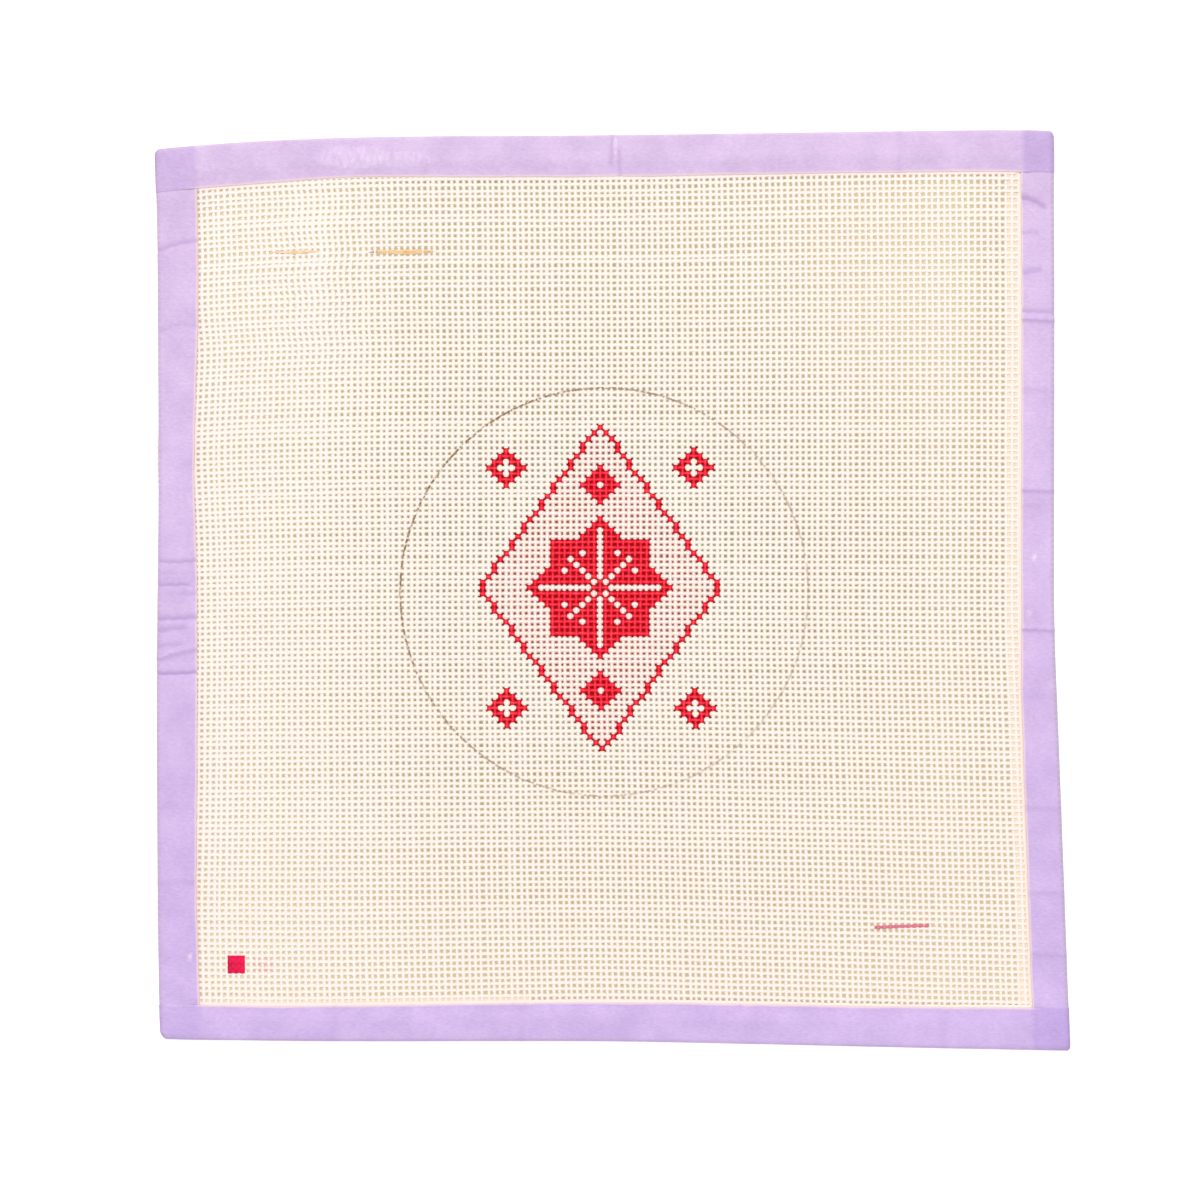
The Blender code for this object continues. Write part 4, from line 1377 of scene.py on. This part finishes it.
def straw_fibre(name, dark_hex, light_hex):
    """Unbleached, unsized cotton: duller and yellower than the rest, and as rough as wool."""
    material, tree, shader = new_material(name, 0.85, 1.5, 0.5)
    place = add_node(tree, "TexCoord", {}, "Object")
    stretched = add_node(tree, "Mapping", {"Vector": place, "Scale": (0.25, 1.0, 1.0)})
    strands = add_node(tree, "TexNoise", {"Vector": stretched, "Scale": 2600.0, "Detail": 3.0}, "Fac")
    patches = add_node(tree, "TexNoise", {"Vector": place, "Scale": 260.0, "Detail": 2.0}, "Fac")
    both = add_node(tree, "Math", {0: strands, 1: patches}, operation="MULTIPLY")
    spread = add_node(tree, "MapRange", {"Value": both, "From Min": 0.15, "From Max": 0.34})
    tone = add_node(tree, "Mix", {"Factor": spread, A: dark_hex, B: light_hex}, MIXED, data_type="RGBA")
    # Its edges are loose hairs, which let the white canvas through; their paler tone is also painted
    # light against the shade at its sides.
    normal = add_node(tree, "NewGeometry", {}, "Normal")
    crest = add_node(tree, "SeparateXYZ", {"Vector": normal}, "Z")
    hairy = add_node(tree, "MapRange", {
        "Value": crest, "From Min": 0.86, "From Max": 0.995, "To Min": 0.75, "To Max": 0.0})
    # Painted shadow darkens the left tip.
    bruised = add_node(tree, "Attribute", {}, "Fac", attribute_name="bruised")
    for amount, tint in ((hairy, "#EBD8C4"), (bruised, "#B08A7C")):
        tone = add_node(tree, "Mix", {"Factor": amount, A: tone, B: tint}, MIXED, data_type="RGBA")
    tree.links.new(tone, shader.inputs["Base Color"])
    soft = add_node(tree, "VectorMath", {0: normal, 1: SOFT_TURN}, operation="MULTIPLY")
    soft = add_node(tree, "VectorMath", {0: soft}, operation="NORMALIZE")
    bump = add_node(tree, "Bump", {"Height": strands, "Strength": 0.5, "Distance": 0.0001, "Normal": soft})
    tree.links.new(bump, shader.inputs["Normal"])
    return material


def spindle(slub, seed):
    """A slub: a flat spindle that follows the weave, with a random lumpiness of its own."""
    own = np.random.default_rng(seed)
    t = np.linspace(0.0, 1.0, SLUB_RINGS)
    x = slub.x_from + (slub.x_to - slub.x_from) * t
    y = slub.y + slub.lean * (t - 0.5) + SLUB_BOW * np.sin(9.0 * t)
    z = middle_height(*shares_at(x, y)) + RISE + SLUB_BED * THREAD_HALF_THICKNESS
    z = z + SLUB_DIP * np.cos(math.pi * (x - x[0]) / PITCH)
    bulge = np.where(t < slub.fattest, t / slub.fattest, (1.0 - t) / (1.0 - slub.fattest))
    unevenness = np.interp(t, np.linspace(0, 1, SLUB_KNOTS), own.normal(0, 1, SLUB_KNOTS))
    swelling = np.sin(math.pi / 2 * bulge) ** SLUB_BLUNTNESS * (1.0 + SLUB_LUMPS * unevenness)
    turn = 2 * math.pi * np.arange(SLUB_SIDES) / SLUB_SIDES
    lumps = 1.0 + SLUB_LUMPS * own.normal(0, 1, (SLUB_RINGS, SLUB_SIDES))
    swelling = np.clip(swelling, SLUB_THINNEST, SLUB_THICKEST)
    radius = (slub.thickness / 2) * swelling[:, None] * lumps
    points = np.stack([
        np.broadcast_to(x[:, None], radius.shape),
        y[:, None] + SLUB_SPREAD * radius * np.cos(turn),
        z[:, None] + SLUB_FLATNESS * radius * np.sin(turn),
    ], axis=-1)
    piece = mesh_object(
        slub.name, points, [faces[:, ::-1] for faces in tube_faces(1, SLUB_RINGS, SLUB_SIDES)],
        [straw_fibre(slub.fibre, slub.dark, slub.light)],
        bruised=(slub.bruised * (1.0 - eased(t / BRUISED_SHARE)))[:, None],
    )
    print(slub.name, "%.1f mm long" % (slub.x_to - slub.x_from))
    return piece


SLUB_PIECES = [spindle(slub, seed) for seed, slub in enumerate(SLUBS, 7)]

# %% [markdown]
# ## Paint that bridges the holes
#
# Most of the paint leaves the holes open. In two places it was put on thick enough to close them
# from above: the red colour-key square, and one loose stroke of rose at the lower right. There it
# dries as a skin, hung between the threads and sagging a little in each hole.

# %% Paint skins
SKIN_STEP = 0.12  # mm between points
SKIN_THICKNESS, SKIN_WAVE = 0.12, 0.07  # mm
SKIN_BED = 0.55  # its height, against a thread's half thickness
SKIN_OVERHANG = 0.45  # spaces by which the key's red skin reaches past its outer threads
ROSE_LOW, ROSE_HIGH = Corner(62.3, -79.9), Corner(75.2, -79.3)


def paint_skin(name, low, high, lean, edge_bite, lift, material):
    """A skin of paint between two corners in plan, draped over the weave. All sizes are in mm.

    lean: how far its right end lies above its left; edge_bite: how far the threads show as notches
    in its lower edge; lift: its height over the usual.
    """
    columns, rows = (int((high[i] - low[i]) / SKIN_STEP) + 1 for i in (0, 1))
    s, t = np.meshgrid(np.linspace(0, 1, columns), np.linspace(0, 1, rows), indexing="ij")
    x = low.x + (high.x - low.x) * s
    y = low.y + (high.y - low.y) * t + lean * (s - 0.5)
    origin = CROSS[nearest_crossing(low)]
    wave_x = np.cos(2 * math.pi * (x - origin[0]) / PITCH)
    wave_y = np.cos(2 * math.pi * (y - origin[1]) / PITCH)
    y = y - edge_bite * (1.0 - t) * (0.5 - 0.5 * wave_x)
    z = middle_height(*shares_at(x, y)) + RISE + SKIN_BED * THREAD_HALF_THICKNESS + lift
    z = z + SKIN_WAVE * (wave_x + wave_y)
    # It is thinnest where the brush left it, at the upper right.
    pooled = np.clip(0.9 - 0.6 * s - 0.5 * t + 0.25 * wave_x * wave_y, 0.0, 1.0)
    faces = grid_faces(columns, rows)[:, [0, 3, 2, 1]]
    piece = mesh_object(name, np.stack([x, y, z], axis=-1), [faces], [material], sunk=pooled)
    skin = piece.modifiers.new("thickness", "SOLIDIFY")
    skin.thickness, skin.offset = SKIN_THICKNESS * MM, 0.0
    print(name, columns, "by", rows, "points")
    return piece


KEY_RED_PAINT = acrylic("key_red_acrylic", "#F5104C", "#C0003E", 0.55)
ROSE_PAINT = acrylic("rose_acrylic", "#DA7C88", "#C8627A", 0.5)
key_reach = (KEY_HALF + SKIN_OVERHANG) * PITCH
key_low = Corner(KEY_RED.x - key_reach, KEY_RED.y - key_reach)
key_high = Corner(KEY_RED.x + key_reach, KEY_RED.y + key_reach)
SKINS = [
    paint_skin("key_red_skin", key_low, key_high, 0.0, 0.26, 0.05, KEY_RED_PAINT),
    paint_skin("rose_stroke_skin", ROSE_LOW, ROSE_HIGH, 0.55, 0.3, 0.0, ROSE_PAINT),
]

# %% [markdown]
# ## Bodies
#
# Each finished piece is attached to the root body, and the solid that it stands for, where it has
# one, is hidden. The canvas is one sheet in four meshes: each holds half of its threads in one
# direction, over half of it.

# %% Bodies and the end
def hand_over(piece, node=None):
    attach(piece, "root")
    if node:
        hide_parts(node)


CUT_WIDTH = (SPACES_ACROSS - 2 * FIRST_WARP) / SPACES_ACROSS * row_length(0.5) * MM
CUT_HEIGHT = (SPACES_UP - 2 * FIRST_WEFT) / SPACES_UP * column_height(0.5) * MM
for piece in (warp_left, warp_right, weft_lower, weft_upper):
    hand_over(piece, "canvas" if piece is warp_left else None)

# Tape lengths as cut.
for side, piece in TAPES.items():
    hand_over(piece, "tape_" + side)
    edge = float(side in FAR_SIDES)
    length = row_length(edge) if side in END_TAPES else column_height(edge) - 2 * SIDE_TAPE_INSET

for piece in SLUB_PIECES + SKINS + [paint_behind, key_blush_film]:
    hand_over(piece)
for piece in [glue_film] + GLUE_LINES:
    hand_over(piece)
